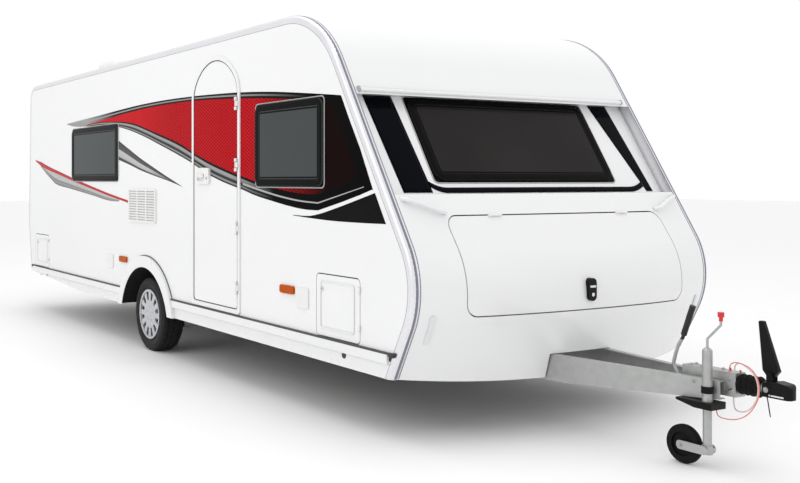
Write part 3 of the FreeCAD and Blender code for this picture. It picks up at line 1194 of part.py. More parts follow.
fork = fork.fuse(plates).cut(tube((jockey_x, jockey_y, 0), (jockey_x, jockey_y, LONG),
                                  s.jockey_stem + s.running_gap))
keep("jockey_fork", fork.removeSplitter())
half = s.jockey_wide / 2
hub = s.jockey_stem
CASTOR_SHARES = {"disc": 0.62, "web": 0.4, "tread": 0.9, "round": 0.7}
disc = s.jockey_radius * CASTOR_SHARES["disc"]
web = half * CASTOR_SHARES["web"]
tread = half * CASTOR_SHARES["tread"]
rounding = half * CASTOR_SHARES["round"]
wheel = [(bore, -half, 0), (hub, -half, 0), (hub, -web, 0), (disc, -web, 0), (disc, -tread, 0),
         (s.jockey_radius, -tread, rounding), (s.jockey_radius, tread, rounding), (disc, tread, 0),
         (disc, web, 0), (hub, web, 0), (hub, half, 0), (bore, half, 0)]
keep("jockey_wheel", spun(wheel, (wheel_x, jockey_y, wheel_z), (0, 1, 0)))

# Corner steadies: brackets under the floor and swing-down legs with broad feet
brackets = []
STEADIES = {"steady_front_right": (1, -1), "steady_front_left": (1, 1),
            "steady_rear_right": (-1, -1), "steady_rear_left": (-1, 1)}
steady_z = s.steady_height
half = s.steady_wide / 2
tall = s.steady_tall / 2
cheek = half + s.shut_gap
for label, (end, side) in STEADIES.items():
    pivot = NOSE_X - s.steady_front_set if end > 0 else REAR_X + s.steady_rear_set
    y = side * s.steady_y
    bracket = box((pivot - half, pivot + half), (y - cheek, y + cheek),
                  (member_top - s.fork_plate, member_top))
    for sign in (-1, 1):
        near, far = span(sign, cheek, cheek + s.fork_plate)
        bracket = bracket.fuse(prism("XZ", [(pivot - half, member_top, 0),
                                            (pivot - half, steady_z - 2 * s.steady_pin, s.steady_pin),
                                            (pivot + half, steady_z - 2 * s.steady_pin, s.steady_pin),
                                            (pivot + half, member_top, 0)], y + near, y + far))
    bracket = bracket.fuse(tube((pivot, y - cheek, steady_z), (pivot, y + cheek, steady_z), s.steady_pin))
    brackets.append(bracket.removeSplitter())
    tip = pivot - end * s.steady_long
    leg = prism("XZ", rectangle(*sorted((pivot + end * tall, tip)), steady_z - tall, steady_z + tall,
                                tall * 0.8), y - half, y + half)
    foot = box(sorted((tip, tip + end * s.fork_plate)), (y - s.foot_wide / 2, y + s.foot_wide / 2),
               (steady_z - tall, steady_z + tall))
    leg = leg.fuse(foot).cut(tube((pivot, -LONG, steady_z), (pivot, LONG, steady_z),
                                  s.steady_pin + s.running_gap))
    keep(label, leg.removeSplitter())
keep("steady_brackets", Part.makeCompound(brackets))


def cord_point(along, out, up):
    """Point beside the coupling, in shares of the bellows' length and radius."""
    return (housing_front + along * s.bellows_long, -out * s.bellows_radius,
            shaft_z + up * s.bellows_radius)


# Breakaway cable: from under the clamp, forward round the bellows and back onto the housing
CABLE_SHARES = [(-0.515, 1.48, -3.25), (-0.015, 1.54, -3.246), (0.47, 1.54, -2.96), (0.86, 1.54, -2.31),
                (1.14, 1.54, -1.44), (1.31, 1.54, -0.48), (1.32, 1.52, 0.48), (1.16, 1.46, 1.35),
                (0.84, 1.35, 1.92), (0.43, 1.12, 2.06), (-0.01, 0.76, 2.09)]
EXIT_SHARES = {"across": 0.75, "drop": 0.444, "end_back": 0.38, "end_side": 0.46, "end_up": 0.667}
clamp_exit = (jockey_x + wide / 2, jockey_y + wide * EXIT_SHARES["across"], clamp_foot)
cable_end = (housing_front - EXIT_SHARES["end_back"] * s.bellows_long,
             -EXIT_SHARES["end_side"] * s.bellows_radius, housing_top)
route = [clamp_exit, (clamp_exit[0], clamp_exit[1], clamp_foot - EXIT_SHARES["drop"] * s.bellows_radius)]
route += [cord_point(*shares) for shares in CABLE_SHARES]
route += [(cable_end[0], cable_end[1], housing_top + EXIT_SHARES["end_up"] * s.bellows_radius), cable_end]
print("breakaway_cable route", [tuple(round(value, 1) for value in point) for point in route])
keep("breakaway_cable", rod(route, s.breakaway_radius, None, "breakaway_cable"))

# Lead: from the housing's underside round the bellows and back onto the housing
LEAD_SHARES = [(-0.2, 0.38, -1.95), (-0.02, 0.71, -2.41), (0.37, 1.15, -2.42), (0.75, 1.31, -2.12),
               (1.04, 1.35, -1.42), (1.2, 1.35, -0.5), (1.21, 1.33, 0.42), (1.04, 1.27, 1.29),
               (0.7, 1.12, 1.78), (0.27, 0.83, 2.1), (-0.01, 0.59, 1.91), (-0.135, 0.48, 1.5)]
(first_share, first_side, _), (last_share, last_side, _) = LEAD_SHARES[0], LEAD_SHARES[-1]
lead_exit = (housing_front + first_share * s.bellows_long, -first_side * s.bellows_radius, housing_foot)
lead_end = (housing_front + last_share * s.bellows_long, -last_side * s.bellows_radius, housing_top)
route = [lead_exit] + [cord_point(*shares) for shares in LEAD_SHARES] + [lead_end]
print("lead_cable route", [tuple(round(value, 1) for value in point) for point in route])
keep("lead_cable", rod(route, s.lead_radius, None, "lead_cable"))

doc.recompute()
for item in doc.Objects:
    if "Invalid" in item.State or "Error" in item.State:
        raise RuntimeError("failed: " + item.Label)
os.makedirs("parts", exist_ok=True)
for label, item in parts.items():
    if item.Shape.isNull() or not item.Shape.isValid():
        raise RuntimeError("bad shape: " + label)
    item.Shape.exportStep("parts/" + label + ".step")
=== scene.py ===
"""Travel caravan: camera, light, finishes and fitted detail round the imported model, in metres."""
import math
import bmesh
import bpy
import numpy as np
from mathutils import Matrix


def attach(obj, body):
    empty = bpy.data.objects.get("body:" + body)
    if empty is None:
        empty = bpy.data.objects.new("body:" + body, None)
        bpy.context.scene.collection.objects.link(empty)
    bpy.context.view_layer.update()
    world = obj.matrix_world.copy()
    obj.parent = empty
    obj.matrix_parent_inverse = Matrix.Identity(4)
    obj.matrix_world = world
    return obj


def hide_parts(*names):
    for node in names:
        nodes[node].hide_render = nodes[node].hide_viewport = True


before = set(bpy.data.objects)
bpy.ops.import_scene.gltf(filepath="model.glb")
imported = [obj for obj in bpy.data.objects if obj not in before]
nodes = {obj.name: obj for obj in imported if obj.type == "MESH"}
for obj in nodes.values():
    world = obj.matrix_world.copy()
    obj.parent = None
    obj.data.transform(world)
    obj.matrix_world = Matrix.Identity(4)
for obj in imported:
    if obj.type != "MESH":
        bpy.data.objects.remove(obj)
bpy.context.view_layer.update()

# Camera: level, ahead of the hitch on the door side, looking back across the nose.
# Its shift only moves the frame, as the photograph's own framing does.
def placed(name, data):
    """New object of a name with its data, linked to the scene."""
    made = bpy.data.objects.new(name, data)
    bpy.context.scene.collection.objects.link(made)
    return made


view_data = bpy.data.cameras.new("view")
view_data.lens = 45.23
view_data.shift_x = 0.2008
view_data.shift_y = -0.0768
view_data.clip_end = 200
view = placed("view", view_data)
view.location = (6.992, -4.487, 1.4225)
view.rotation_euler = (math.pi / 2, 0, math.radians(61.55))
bpy.context.scene.camera = view
bpy.context.scene.view_settings.view_transform = "Standard"


# Breakaway cable and lead: plastic-covered lines looped from the drawbar round the bellows.
# Each is one smooth line through its route, clipped to the housing at both ends.
def set_sockets(node, **values):
    """Sets a node's own sockets, with _ in a keyword for a space in the socket's name."""
    for socket, value in values.items():
        node.inputs[socket.replace("_", " ")].default_value = value
    return node


def shader_node(tree, kind, **values):
    """Adds a shader node of a kind and sets its sockets."""
    return set_sockets(tree.nodes.new("ShaderNode" + kind), **values)


def wire(tree, *runs):
    """Wires a tree: each run is (node, output, node, input), sockets by name or number."""
    for source, out, target, into in runs:
        tree.links.new(source.outputs[out], target.inputs[into])


OWN, OTHER, MIXED = 6, 7, 2


def colour_mix(tree, blend="MIX"):
    """Mix node for colours: OWN and OTHER are its colour inputs, MIXED is its colour output."""
    mixed = shader_node(tree, "Mix")
    mixed.data_type = "RGBA"
    mixed.blend_type = blend
    return mixed


grain = bpy.data.node_groups.new("surface grain", "ShaderNodeTree")
for label, kind, default in (("Vector", "Vector", (0, 0, 0)), ("Scale", "Float", 20.0),
                             ("Colour", "Color", (1, 1, 1, 1)), ("Shade", "Color", (1, 1, 1, 1)),
                             ("Smooth", "Float", 0.3), ("Rough", "Float", 0.5)):
    grain.interface.new_socket(label, in_out="INPUT", socket_type="NodeSocket" + kind).default_value = default
for label, kind in (("Colour", "Color"), ("Roughness", "Float"), ("Height", "Float")):
    grain.interface.new_socket(label, in_out="OUTPUT", socket_type="NodeSocket" + kind)
grain_in, grain_out = grain.nodes.new("NodeGroupInput"), grain.nodes.new("NodeGroupOutput")
broad, fine = shader_node(grain, "TexNoise", Detail=4), shader_node(grain, "TexNoise", Detail=2)
finer = shader_node(grain, "Math")
finer.operation = "MULTIPLY"
finer.inputs[1].default_value = 9
toned = colour_mix(grain)
gloss = shader_node(grain, "MapRange", From_Min=0.3, From_Max=0.7)
wire(grain, (grain_in, "Vector", broad, "Vector"), (grain_in, "Vector", fine, "Vector"),
    (grain_in, "Scale", broad, "Scale"), (grain_in, "Scale", finer, 0), (finer, 0, fine, "Scale"),
    (broad, "Fac", toned, "Factor"), (grain_in, "Colour", toned, OWN), (grain_in, "Shade", toned, OTHER),
    (broad, "Fac", gloss, "Value"), (grain_in, "Smooth", gloss, "To Min"),
    (grain_in, "Rough", gloss, "To Max"), (toned, MIXED, grain_out, "Colour"),
    (gloss, "Result", grain_out, "Roughness"), (fine, "Fac", grain_out, "Height"))


def finish(name, colour, shade, smooth, rough, scale, depth=0.0002, stretch=(1, 1, 1), **shader):
    """Material of one finish: colour and roughness vary broadly, the bump finely."""
    material = bpy.data.materials.new(name)
    material.use_nodes = True
    tree = material.node_tree
    body = set_sockets(tree.nodes["Principled BSDF"], **shader)
    place, mapping = shader_node(tree, "TexCoord"), shader_node(tree, "Mapping", Scale=stretch)
    spots = tree.nodes.new("ShaderNodeGroup")
    spots.node_tree = grain
    set_sockets(spots, Scale=scale, Colour=(*colour, 1), Shade=(*shade, 1), Smooth=smooth, Rough=rough)
    bump = shader_node(tree, "Bump", Distance=depth, Strength=0.6)
    wire(tree, (place, "Object", mapping, "Vector"), (mapping, "Vector", spots, "Vector"),
        (spots, "Colour", body, "Base Color"), (spots, "Roughness", body, "Roughness"),
        (spots, "Height", bump, "Height"), (bump, "Normal", body, "Normal"))
    return material


def paint(material, *names):
    """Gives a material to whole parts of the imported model."""
    for name in names:
        slots = nodes[name].data.materials
        slots.clear()
        slots.append(material)


def laid_line(name, route, radius, material):
    """Round line: the route's points are the control points of one NURBS spline."""
    curve = bpy.data.curves.new(name, "CURVE")
    curve.dimensions = "3D"
    curve.bevel_depth = radius
    curve.bevel_resolution = 5
    curve.resolution_u = 14
    curve.use_fill_caps = True
    spline = curve.splines.new("NURBS")
    spline.points.add(len(route) - 1)
    for point, place in zip(spline.points, route):
        point.co = (*place, 1)
    spline.order_u = 3
    spline.use_endpoint_u = True
    curve.materials.append(material)
    line = placed(name, curve)
    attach(line, "caravan")
    return line


red_cover = finish("red cable cover", (0.62, 0.12, 0.10), (0.74, 0.2, 0.16), 0.3, 0.42, 60, 0.0001,
    Coat_Weight=0.3)
breakaway = laid_line("breakaway_line", [
    (3.7690, -0.0760, 0.3002), (3.7690, -0.0760, 0.2771), (3.7853, -0.0770, 0.2610),
    (3.8433, -0.0801, 0.2612), (3.8995, -0.0801, 0.2761), (3.9448, -0.0801, 0.3099),
    (3.9772, -0.0801, 0.3551), (3.9970, -0.0801, 0.4050), (3.9981, -0.0790, 0.4550),
    (3.9796, -0.0759, 0.5002), (3.9424, -0.0702, 0.5298), (3.8949, -0.0582, 0.5371),
    (3.8438, -0.0395, 0.5387), (3.8009, -0.0239, 0.5164), (3.8009, -0.0239, 0.4817)], 0.0025, red_cover)
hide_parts("breakaway_cable")
pale_cover = finish("pale lead cover", (0.72, 0.6, 0.56), (0.62, 0.5, 0.47), 0.3, 0.45, 60, 0.0001,
    Coat_Weight=0.2)
lead = laid_line("brake_lead", [
    (3.8218, -0.0198, 0.3642), (3.8218, -0.0198, 0.3286), (3.8427, -0.0369, 0.3047),
    (3.8879, -0.0598, 0.3042), (3.9320, -0.0681, 0.3198), (3.9656, -0.0702, 0.3562),
    (3.9842, -0.0702, 0.4040), (3.9854, -0.0692, 0.4518), (3.9656, -0.0660, 0.4971),
    (3.9262, -0.0582, 0.5226), (3.8763, -0.0432, 0.5392), (3.8438, -0.0307, 0.5293),
    (3.8293, -0.0250, 0.5080), (3.8293, -0.0250, 0.4817)], 0.0035, pale_cover)
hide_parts("lead_cable")

# Studio: a pale seamless floor and an even white surround, with three soft square lamps,
# one overhead, one before the door side and one ahead.
FLOOR_REACH = 60
floor_mesh = bpy.data.meshes.new("studio_floor")
floor_mesh.from_pydata([(x * FLOOR_REACH, y * FLOOR_REACH, 0)
                        for x, y in ((-1, -1), (1, -1), (1, 1), (-1, 1))], [], [(0, 1, 2, 3)])
floor = placed("studio_floor", floor_mesh)
floor_mesh.materials.append(finish("pale floor", (0.93, 0.93, 0.93), (0.91, 0.91, 0.91), 0.6, 0.7, 1.5,
                                   0.0005))
world = bpy.data.worlds.new("surround")
world.use_nodes = True
set_sockets(world.node_tree.nodes["Background"], Color=(1, 1, 1, 1), Strength=1.0)
bpy.context.scene.world = world


def lamp(name, place, aim, size, power):
    """Square soft lamp turned from its place towards its aim."""
    data = bpy.data.lights.new(name, "AREA")
    data.size = size
    data.energy = power
    light = placed(name, data)
    light.location = place
    across = np.subtract(aim, place)
    flat = math.hypot(across[0], across[1])
    light.rotation_euler = (math.atan2(flat, -across[2]), 0, math.atan2(-across[0], across[1]))


lamp("overhead", (0, -1, 8), (0, 0, 0), 7, 160)
lamp("door_side", (1, -10, 5), (0, 0, 1.2), 6, 110)
lamp("ahead", (10, 3, 5), (2, 0, 1), 5, 18)

# Body shell: glass-fibre sandwich walls, roof, cap and nose in gloss white gel coat,
# pressed smooth, with the faint ripple that such sheets show in a long reflection.
gel_coat = finish("white gel coat", (0.80, 0.803, 0.81), (0.785, 0.788, 0.795), 0.16, 0.24, 3, 0.0006,
    Coat_Weight=0.35, Coat_Roughness=0.08)
paint(gel_coat, "side_wall_left", "side_wall_right", "roof_panel", "rear_wall", "front_cap", "front_wall",
    "nose_panel", "gas_locker_lid", "entrance_door", "service_door_front", "service_door_rear",
    "service_door_left", "grab_handles", "rear_bumper")
moulded_white = finish("moulded white", (0.78, 0.78, 0.77), (0.75, 0.75, 0.74), 0.32, 0.45, 40)
paint(moulded_white, "fridge_vent", "service_flaps", "roof_vent", "door_handle")
painted_white = finish("painted white sheet", (0.78, 0.783, 0.79), (0.765, 0.768, 0.775), 0.25, 0.32, 2,
    0.0001, Coat_Weight=0.2)
paint(painted_white, "skirt_left", "skirt_right", "door_frame")
paint(finish("sealed floor board", (0.05, 0.042, 0.036), (0.035, 0.03, 0.026), 0.45, 0.6, 8, 0.0005,
             stretch=(0.2, 1, 1)), "floor_panel")
paint(finish("black wheel box", (0.02, 0.02, 0.021), (0.035, 0.035, 0.036), 0.6, 0.8, 30, 0.001),
    "wheel_boxes")

# Corner trims: extruded aluminium sections, clear anodised, with a fine brushed run.
# They cover the joints of the side walls with roof, front and rear, and are screwed on.
aluminium = finish("anodised aluminium", (0.72, 0.72, 0.75), (0.8, 0.8, 0.82), 0.24, 0.38, 6,
    stretch=(1, 8, 1), Metallic=0.85)
paint(aluminium, "edge_trim_left", "edge_trim_right")

# Windows: hinged acrylic panes, the side and rear ones tinted grey, the front one smoked.
# They are drawn from sheet, so their gloss is slightly uneven.
tinted = finish("tinted acrylic", (0.046, 0.053, 0.055), (0.055, 0.062, 0.064), 0.08, 0.14, 2, 0.0003,
    Specular_IOR_Level=0.06)
paint(tinted, "side_windows", "rear_window")
paint(finish("smoked acrylic", (0.012, 0.0105, 0.0105), (0.030, 0.026, 0.026), 0.10, 0.2, 1.2, 0.0003,
             Specular_IOR_Level=0.05), "front_window")

# Running gear and hitch: hot-dip galvanised steel with its crystal bloom, bolted together.
# The coupling and the locker latch are black powder-coated, tyres and bellows black rubber.
galvanised = finish("galvanised steel", (0.33, 0.335, 0.33), (0.52, 0.53, 0.52), 0.36, 0.55, 22, 0.0004,
    Metallic=0.7)
paint(galvanised, "chassis_member_left", "chassis_member_right", "cross_members", "axle_tube", "swing_arms",
    "overrun_housing", "jockey_tube", "jockey_stem", "jockey_fork", "steady_front_left", "steady_front_right",
    "steady_rear_left", "steady_rear_right", "steady_brackets")
satin_black = finish("black powder coat", (0.003, 0.003, 0.0033), (0.006, 0.006, 0.007), 0.3, 0.45, 50,
    Specular_IOR_Level=0.14)
paint(satin_black, "coupling_head", "coupling_lever", "jockey_clamp", "locker_latch")
rubber = finish("black rubber", (0.005, 0.005, 0.0055), (0.010, 0.010, 0.0105), 0.5, 0.7, 60, 0.0004,
    Specular_IOR_Level=0.1)
paint(rubber, "overrun_bellows", "jockey_wheel", "tyre_left", "tyre_right")

# Lamps and roof domes: clear amber and red mouldings, and milky acrylic lids.
# All are moulded plastic with a gloss skin, screwed down on seals.
amber = finish("amber lens", (0.50, 0.088, 0.002), (0.40, 0.065, 0.002), 0.08, 0.16, 30,
    Specular_IOR_Level=0.05)
paint(amber, "marker_lamps")
paint(finish("red lens", (0.5, 0.01, 0.01), (0.35, 0.005, 0.005), 0.08, 0.16, 30, Coat_Weight=0.5),
    "rear_lamps")
paint(finish("milky acrylic", (0.78, 0.8, 0.8), (0.72, 0.74, 0.74), 0.15, 0.25, 6, Coat_Weight=0.3),
    "roof_hatches")

# Side stripes: cut vinyl film laid on the walls and the door, red between grey borders.
# Each film is a strip between an upper and a lower curve, left out where a window stands.
WELD, CREASE = 1e-6, math.radians(38)


def piece(name, patches, slot, material, body="caravan", thick=0, facing=None, smooth=True):
    """One object from grids of points (rows, columns, 3): each cell becomes one face.

    A patch is (points, rows wrap, columns wrap, uv or None). Open sheets are turned to face a
    direction and may get a thickness behind them; closed shapes are turned outwards.
    """
    corners, quads, marks = [], [], []
    base = 0
    for points, wrap_rows, wrap_columns, uv in patches:
        rows, columns = points.shape[:2]
        i, j = np.meshgrid(np.arange(rows if wrap_rows else rows - 1),
                           np.arange(columns if wrap_columns else columns - 1), indexing="ij")
        i2, j2 = (i + 1) % rows, (j + 1) % columns
        cell = np.stack([i * columns + j, i * columns + j2, i2 * columns + j2, i2 * columns + j], -1)
        quads.append(cell.reshape(-1, 4) + base)
        corners.append(points.reshape(-1, 3))
        marks.append(np.zeros((rows * columns, 2)) if uv is None else uv.reshape(-1, 2))
        base += rows * columns
    corners, quads, marks = np.concatenate(corners), np.concatenate(quads), np.concatenate(marks)
    mesh = bpy.data.meshes.new(name)
    mesh.from_pydata(corners, [], quads.tolist())
    layer = mesh.uv_layers.new(name="along")
    layer.data.foreach_set("uv", marks[quads.ravel()].ravel())
    work = bmesh.new()
    work.from_mesh(mesh)
    bmesh.ops.remove_doubles(work, verts=work.verts, dist=WELD)
    bmesh.ops.dissolve_degenerate(work, edges=work.edges, dist=WELD)
    if facing is None:
        bmesh.ops.recalc_face_normals(work, faces=work.faces)
    elif sum(np.dot(face.normal, facing) * face.calc_area() for face in work.faces) < 0:
        bmesh.ops.reverse_faces(work, faces=work.faces)
    work.to_mesh(mesh)
    work.free()
    mesh.polygons.foreach_set("use_smooth", np.full(len(mesh.polygons), smooth))
    mesh.set_sharp_from_angle(angle=CREASE)
    mesh.materials.append(material)
    made = placed(name, mesh)
    if thick:
        plate = made.modifiers.new("thickness", "SOLIDIFY")
        plate.thickness = thick
        plate.offset = -1
    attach(made, body)
    return made


def through(points):
    """Smooth line through points, a cubic between neighbours with their slopes: z as a function of x."""
    px, pz = np.asarray(points, float).T
    slope = np.gradient(pz, px)

    def height(at):
        i = np.clip(np.searchsorted(px, at) - 1, 0, len(px) - 2)
        wide = px[i + 1] - px[i]
        t = np.clip((at - px[i]) / wide, 0, 1)
        return ((1 + 2 * t) * (1 - t) ** 2 * pz[i] + t * (1 - t) ** 2 * wide * slope[i]
                + t * t * (3 - 2 * t) * pz[i + 1] + t * t * (t - 1) * wide * slope[i + 1])
    return height


def straight(points):
    """Straight runs through points: z as a function of x."""
    return lambda at: np.interp(at, *np.asarray(points, float).T)


WALL_FACE = 1.1753
FILM = 0.0005
SLIVER = 1e-4
FILM_COLUMNS, FILM_ROWS = 120, 5
PANES = {"front": (1.120, 1.940, 1.384, 1.920, 0.062), "rear": (-2.600, -1.382, 1.418, 1.920, 0.062)}
SEGMENTS = {
    -1: [("wall_rear", -4, 0.139, WALL_FACE, "caravan"), ("door", 0.179, 0.858, 1.1805, "door"),
         ("wall_front", 0.898, 4, WALL_FACE, "caravan")],
    1: [("wall_left", -4, 4, WALL_FACE, "caravan")],
}


def pane_edge(pane, at, upper):
    """Upper or lower edge of a pane with rounded corners at given x values inside it."""
    x0, x1, z0, z1, radius = pane
    near = np.clip(np.minimum(at - x0, x1 - at), 0, radius)
    drop = radius - np.sqrt(radius ** 2 - (radius - near) ** 2)
    return z1 - drop if upper else z0 + drop



def film(name, top, low, ends, material, lift=0.0):
    """Film between two curves of x on both walls, cut at the door's edges and round the panes."""
    cuts = sorted([*ends, *(x for pane in PANES.values() for x in pane[:2] if ends[0] < x < ends[1])])
    for side, segments in SEGMENTS.items():
        for tag, start, stop, face, body in segments:
            patches = []
            for a, b in zip(cuts, cuts[1:]):
                left, right = max(a, start), min(b, stop)
                if right - left < SLIVER:
                    continue
                at = left + (right - left) * np.linspace(0, 1, max(6, int(FILM_COLUMNS * (right - left))))
                upper, lower = top(at), np.minimum(top(at), low(at))
                spans = [(upper, lower)]
                for pane in PANES.values():
                    if pane[0] < (left + right) / 2 < pane[1]:
                        above, below = pane_edge(pane, at, True), pane_edge(pane, at, False)
                        spans = [(np.maximum(upper, above), np.maximum(lower, above)),
                            (np.minimum(upper, below), np.minimum(lower, below))]
                for high, foot in spans:
                    if np.max(high - foot) < SLIVER:
                        continue
                    z = high + (foot - high) * np.linspace(0, 1, FILM_ROWS)[:, None]
                    x = np.broadcast_to(at, z.shape)
                    uv = np.stack([x, (upper - z) / np.maximum(upper - lower, 1e-6)], -1)
                    patches.append((np.stack([x, np.full(z.shape, side * (face + FILM + lift)), z], -1),
                                    False, False, uv))
            if patches:
                piece("stripe_%s_%s" % (name, tag), patches, "white_panel", material, body,
                    facing=(0, side, 0), smooth=False)


def tinted_by(material, tint):
    """Multiplies a material's own colour by a colour output."""
    tree = material.node_tree
    base = tree.nodes["Principled BSDF"].inputs["Base Color"]
    both = set_sockets(colour_mix(tree, "MULTIPLY"), Factor=1)
    tree.links.new(base.links[0].from_socket, both.inputs[OWN])
    tree.links.new(tint, both.inputs[OTHER])
    tree.links.new(both.outputs[MIXED], base)
    return material


def ramp_of(tree, stops, source):
    """Colour ramp with (place, grey or colour) stops, read from an output; gives its colour."""
    ramp = shader_node(tree, "ValToRGB")
    while len(ramp.color_ramp.elements) < len(stops):
        ramp.color_ramp.elements.new(0.5)
    for element, (place, colour) in zip(ramp.color_ramp.elements, stops):
        element.position = place
        element.color = (colour, colour, colour, 1) if isinstance(colour, float) else (*colour, 1)
    tree.links.new(source, ramp.inputs["Fac"])
    return ramp.outputs["Color"]


def axis_run(tree, axis, start, stop, absolute=False):
    """Mask from 0 to 1 as an object coordinate, or its size, runs from start to stop."""
    place, split = shader_node(tree, "TexCoord"), shader_node(tree, "SeparateXYZ")
    run = shader_node(tree, "MapRange", From_Min=start, From_Max=stop)
    wire(tree, (place, "Object", split, "Vector"))
    if absolute:
        size = shader_node(tree, "Math")
        size.operation = "ABSOLUTE"
        wire(tree, (split, axis, size, 0), (size, 0, run, "Value"))
    else:
        wire(tree, (split, axis, run, "Value"))
    return run.outputs["Result"]


def towards(tree, own, mask, target):
    """Mixes a colour output towards a target colour by a mask; gives the mixed colour."""
    mixed = colour_mix(tree)
    mixed.inputs[OTHER].default_value = (*target, 1)
    tree.links.new(mask, mixed.inputs["Factor"])
    tree.links.new(own, mixed.inputs[OWN])
    return mixed.outputs[MIXED]


def film_material(name, stops, *fades):
    """Gloss vinyl: tones across the strip from its own UV map, then faded along the wall."""
    material = finish(name, (1, 1, 1), (0.94, 0.94, 0.94), 0.24, 0.34, 12, 0.0001, Specular_IOR_Level=0.02)
    tree = material.node_tree
    place, split = shader_node(tree, "UVMap"), shader_node(tree, "SeparateXYZ")
    place.uv_map = "along"
    wire(tree, (place, "UV", split, "Vector"))
    tone = ramp_of(tree, stops, split.outputs["Y"])
    for start, stop, target in fades:
        tone = towards(tree, tone, axis_run(tree, "X", start, stop), target)
    return tinted_by(material, tone)


TOP = [(-2.78, 1.990), (-2.39, 2.005), (-1.838, 2.024), (-1.339, 2.044), (-0.884, 2.058), (-0.468, 2.063),
    (-0.087, 2.060), (0.196, 2.054), (0.557, 2.042), (0.889, 2.028), (1.301, 2.001), (1.672, 1.966),
    (1.9, 1.942), (2.2, 1.909), (2.5, 1.875)]
TOP_END = [(2.0, 2.130), (2.123, 1.918), (2.215, 1.762), (2.314, 1.604), (2.409, 1.423), (2.45, 1.345)]
LOW = [(-2.78, 1.984), (-2.6, 1.958), (-2.219, 1.938), (-1.838, 1.925), (-1.387, 1.895), (-1.106, 1.852),
    (-0.777, 1.783), (-0.468, 1.707), (-0.087, 1.610), (0.196, 1.532), (0.429, 1.460), (0.666, 1.405),
    (0.904, 1.361), (1.101, 1.320), (1.301, 1.290), (1.552, 1.257), (1.73, 1.241), (1.877, 1.239)]
LOW_END = [(1.877, 1.239), (2.113, 1.290), (2.314, 1.338), (2.440, 1.372)]
RED_TOP = [(-2.219, 1.953), (-1.838, 1.972), (-1.339, 1.999), (-0.884, 2.018), (-0.468, 2.026),
    (-0.087, 2.025), (0.196, 2.019), (0.557, 2.004), (0.889, 1.986), (1.301, 1.958), (1.672, 1.925),
    (1.9, 1.899), (2.3, 1.850)]
RED_END = [(1.9, 2.050), (2.029, 1.878), (2.113, 1.745), (2.215, 1.580), (2.284, 1.434)]
RED_LOW = [(-2.219, 1.951), (-1.838, 1.957), (-1.459, 1.945), (-1.221, 1.929), (-0.994, 1.902),
    (-0.777, 1.858), (-0.569, 1.812), (-0.087, 1.703), (0.196, 1.618), (0.429, 1.555), (0.666, 1.501),
    (0.889, 1.454), (1.114, 1.412), (1.429, 1.362), (1.672, 1.340), (1.844, 1.334)]
RED_LOW_END = [(1.844, 1.334), (1.954, 1.351), (2.113, 1.392), (2.440, 1.480)]


def band_top(x):
    """Upper edge of the whole band: its curve, cut off by its slanted front end."""
    return np.minimum(through(TOP)(x), straight(TOP_END)(x))


def band_low(x):
    """Lower edge of the whole band: its curve, then straight runs up to its front end."""
    curve = np.where(x < LOW_END[0][0], through(LOW)(x), straight(LOW_END)(x))
    return np.minimum(curve, band_top(x))


def red_top(x):
    """Upper edge of the red field: its curve, cut off by its front end, kept in the band."""
    curve = np.minimum(through(RED_TOP)(x), straight(RED_END)(x))
    return np.clip(curve, band_low(x), band_top(x))


def red_low(x):
    """Lower edge of the red field: its curve, then straight runs, kept in the band."""
    curve = np.where(x < RED_LOW_END[0][0], through(RED_LOW)(x), straight(RED_LOW_END)(x))
    return np.clip(curve, band_low(x), red_top(x))


BLACK = (0.001, 0.001, 0.0012)
RED_TAIL, BAND_NOSE = -2.219, 2.44
upper_border = film_material("upper border film", [
    (0.0, 0.008), (0.32, 0.015), (0.40, 0.26), (0.60, 0.30), (0.66, 0.02), (1.0, 0.004)],
    (0.9, 1.75, BLACK), (-1.5, -2.2, (0.34, 0.34, 0.34)))
film("upper_border", band_top, red_top, (RED_TAIL, BAND_NOSE), upper_border)
film("tip", band_top, band_low, (-2.78, RED_TAIL), film_material("tip film", [(0.0, 0.36), (1.0, 0.3)]))
lower_border = film_material("lower border film", [
    (0.0, 0.005), (0.16, 0.008), (0.24, 0.36), (0.46, 0.26), (0.54, 0.03), (0.70, 0.05), (0.77, 0.30),
    (0.84, 0.26), (0.90, 0.04), (1.0, 0.03)], (0.75, 1.35, BLACK))
film("lower_border", red_low, band_low, (RED_TAIL, BAND_NOSE), lower_border)

# Red field: vinyl film laid between the two borders. It carries a printed pattern of small
# dark dashes that fades in towards the door, and it darkens to almost black at the front.
DASH = (0.036, 0.018)
red_film = finish("red film", (0.53, 0.006, 0.012), (0.49, 0.005, 0.010), 0.26, 0.36, 4, 0.0001,
    Specular_IOR_Level=0.02)
tree = red_film.node_tree
place, split, flat = (shader_node(tree, kind) for kind in ("TexCoord", "SeparateXYZ", "CombineXYZ"))
turned = shader_node(tree, "Mapping", Scale=(1 / DASH[0], 1 / DASH[1], 1), Rotation=(0, 0, math.radians(45)))
cells = shader_node(tree, "TexVoronoi", Scale=1, Randomness=0)
cells.voronoi_dimensions = "2D"
wire(tree, (place, "Object", split, "Vector"), (split, "X", flat, "X"), (split, "Z", flat, "Y"),
    (flat, "Vector", turned, "Vector"), (turned, "Vector", cells, "Vector"))
tone = ramp_of(tree, [(0.0, (0.26, 0.2, 0.2)), (0.22, (0.3, 0.24, 0.24)), (0.40, 1.0), (1.0, 1.0)],
    cells.outputs["Distance"])
tone = towards(tree, tone, axis_run(tree, "X", -0.35, -0.95), (1, 1, 1))
tone = towards(tree, tone, axis_run(tree, "X", 1.1, 1.95), (0.010, 0.002, 0.003))
tinted_by(red_film, tone)
film("red_field", red_top, red_low, (RED_TAIL, 2.30), red_film)

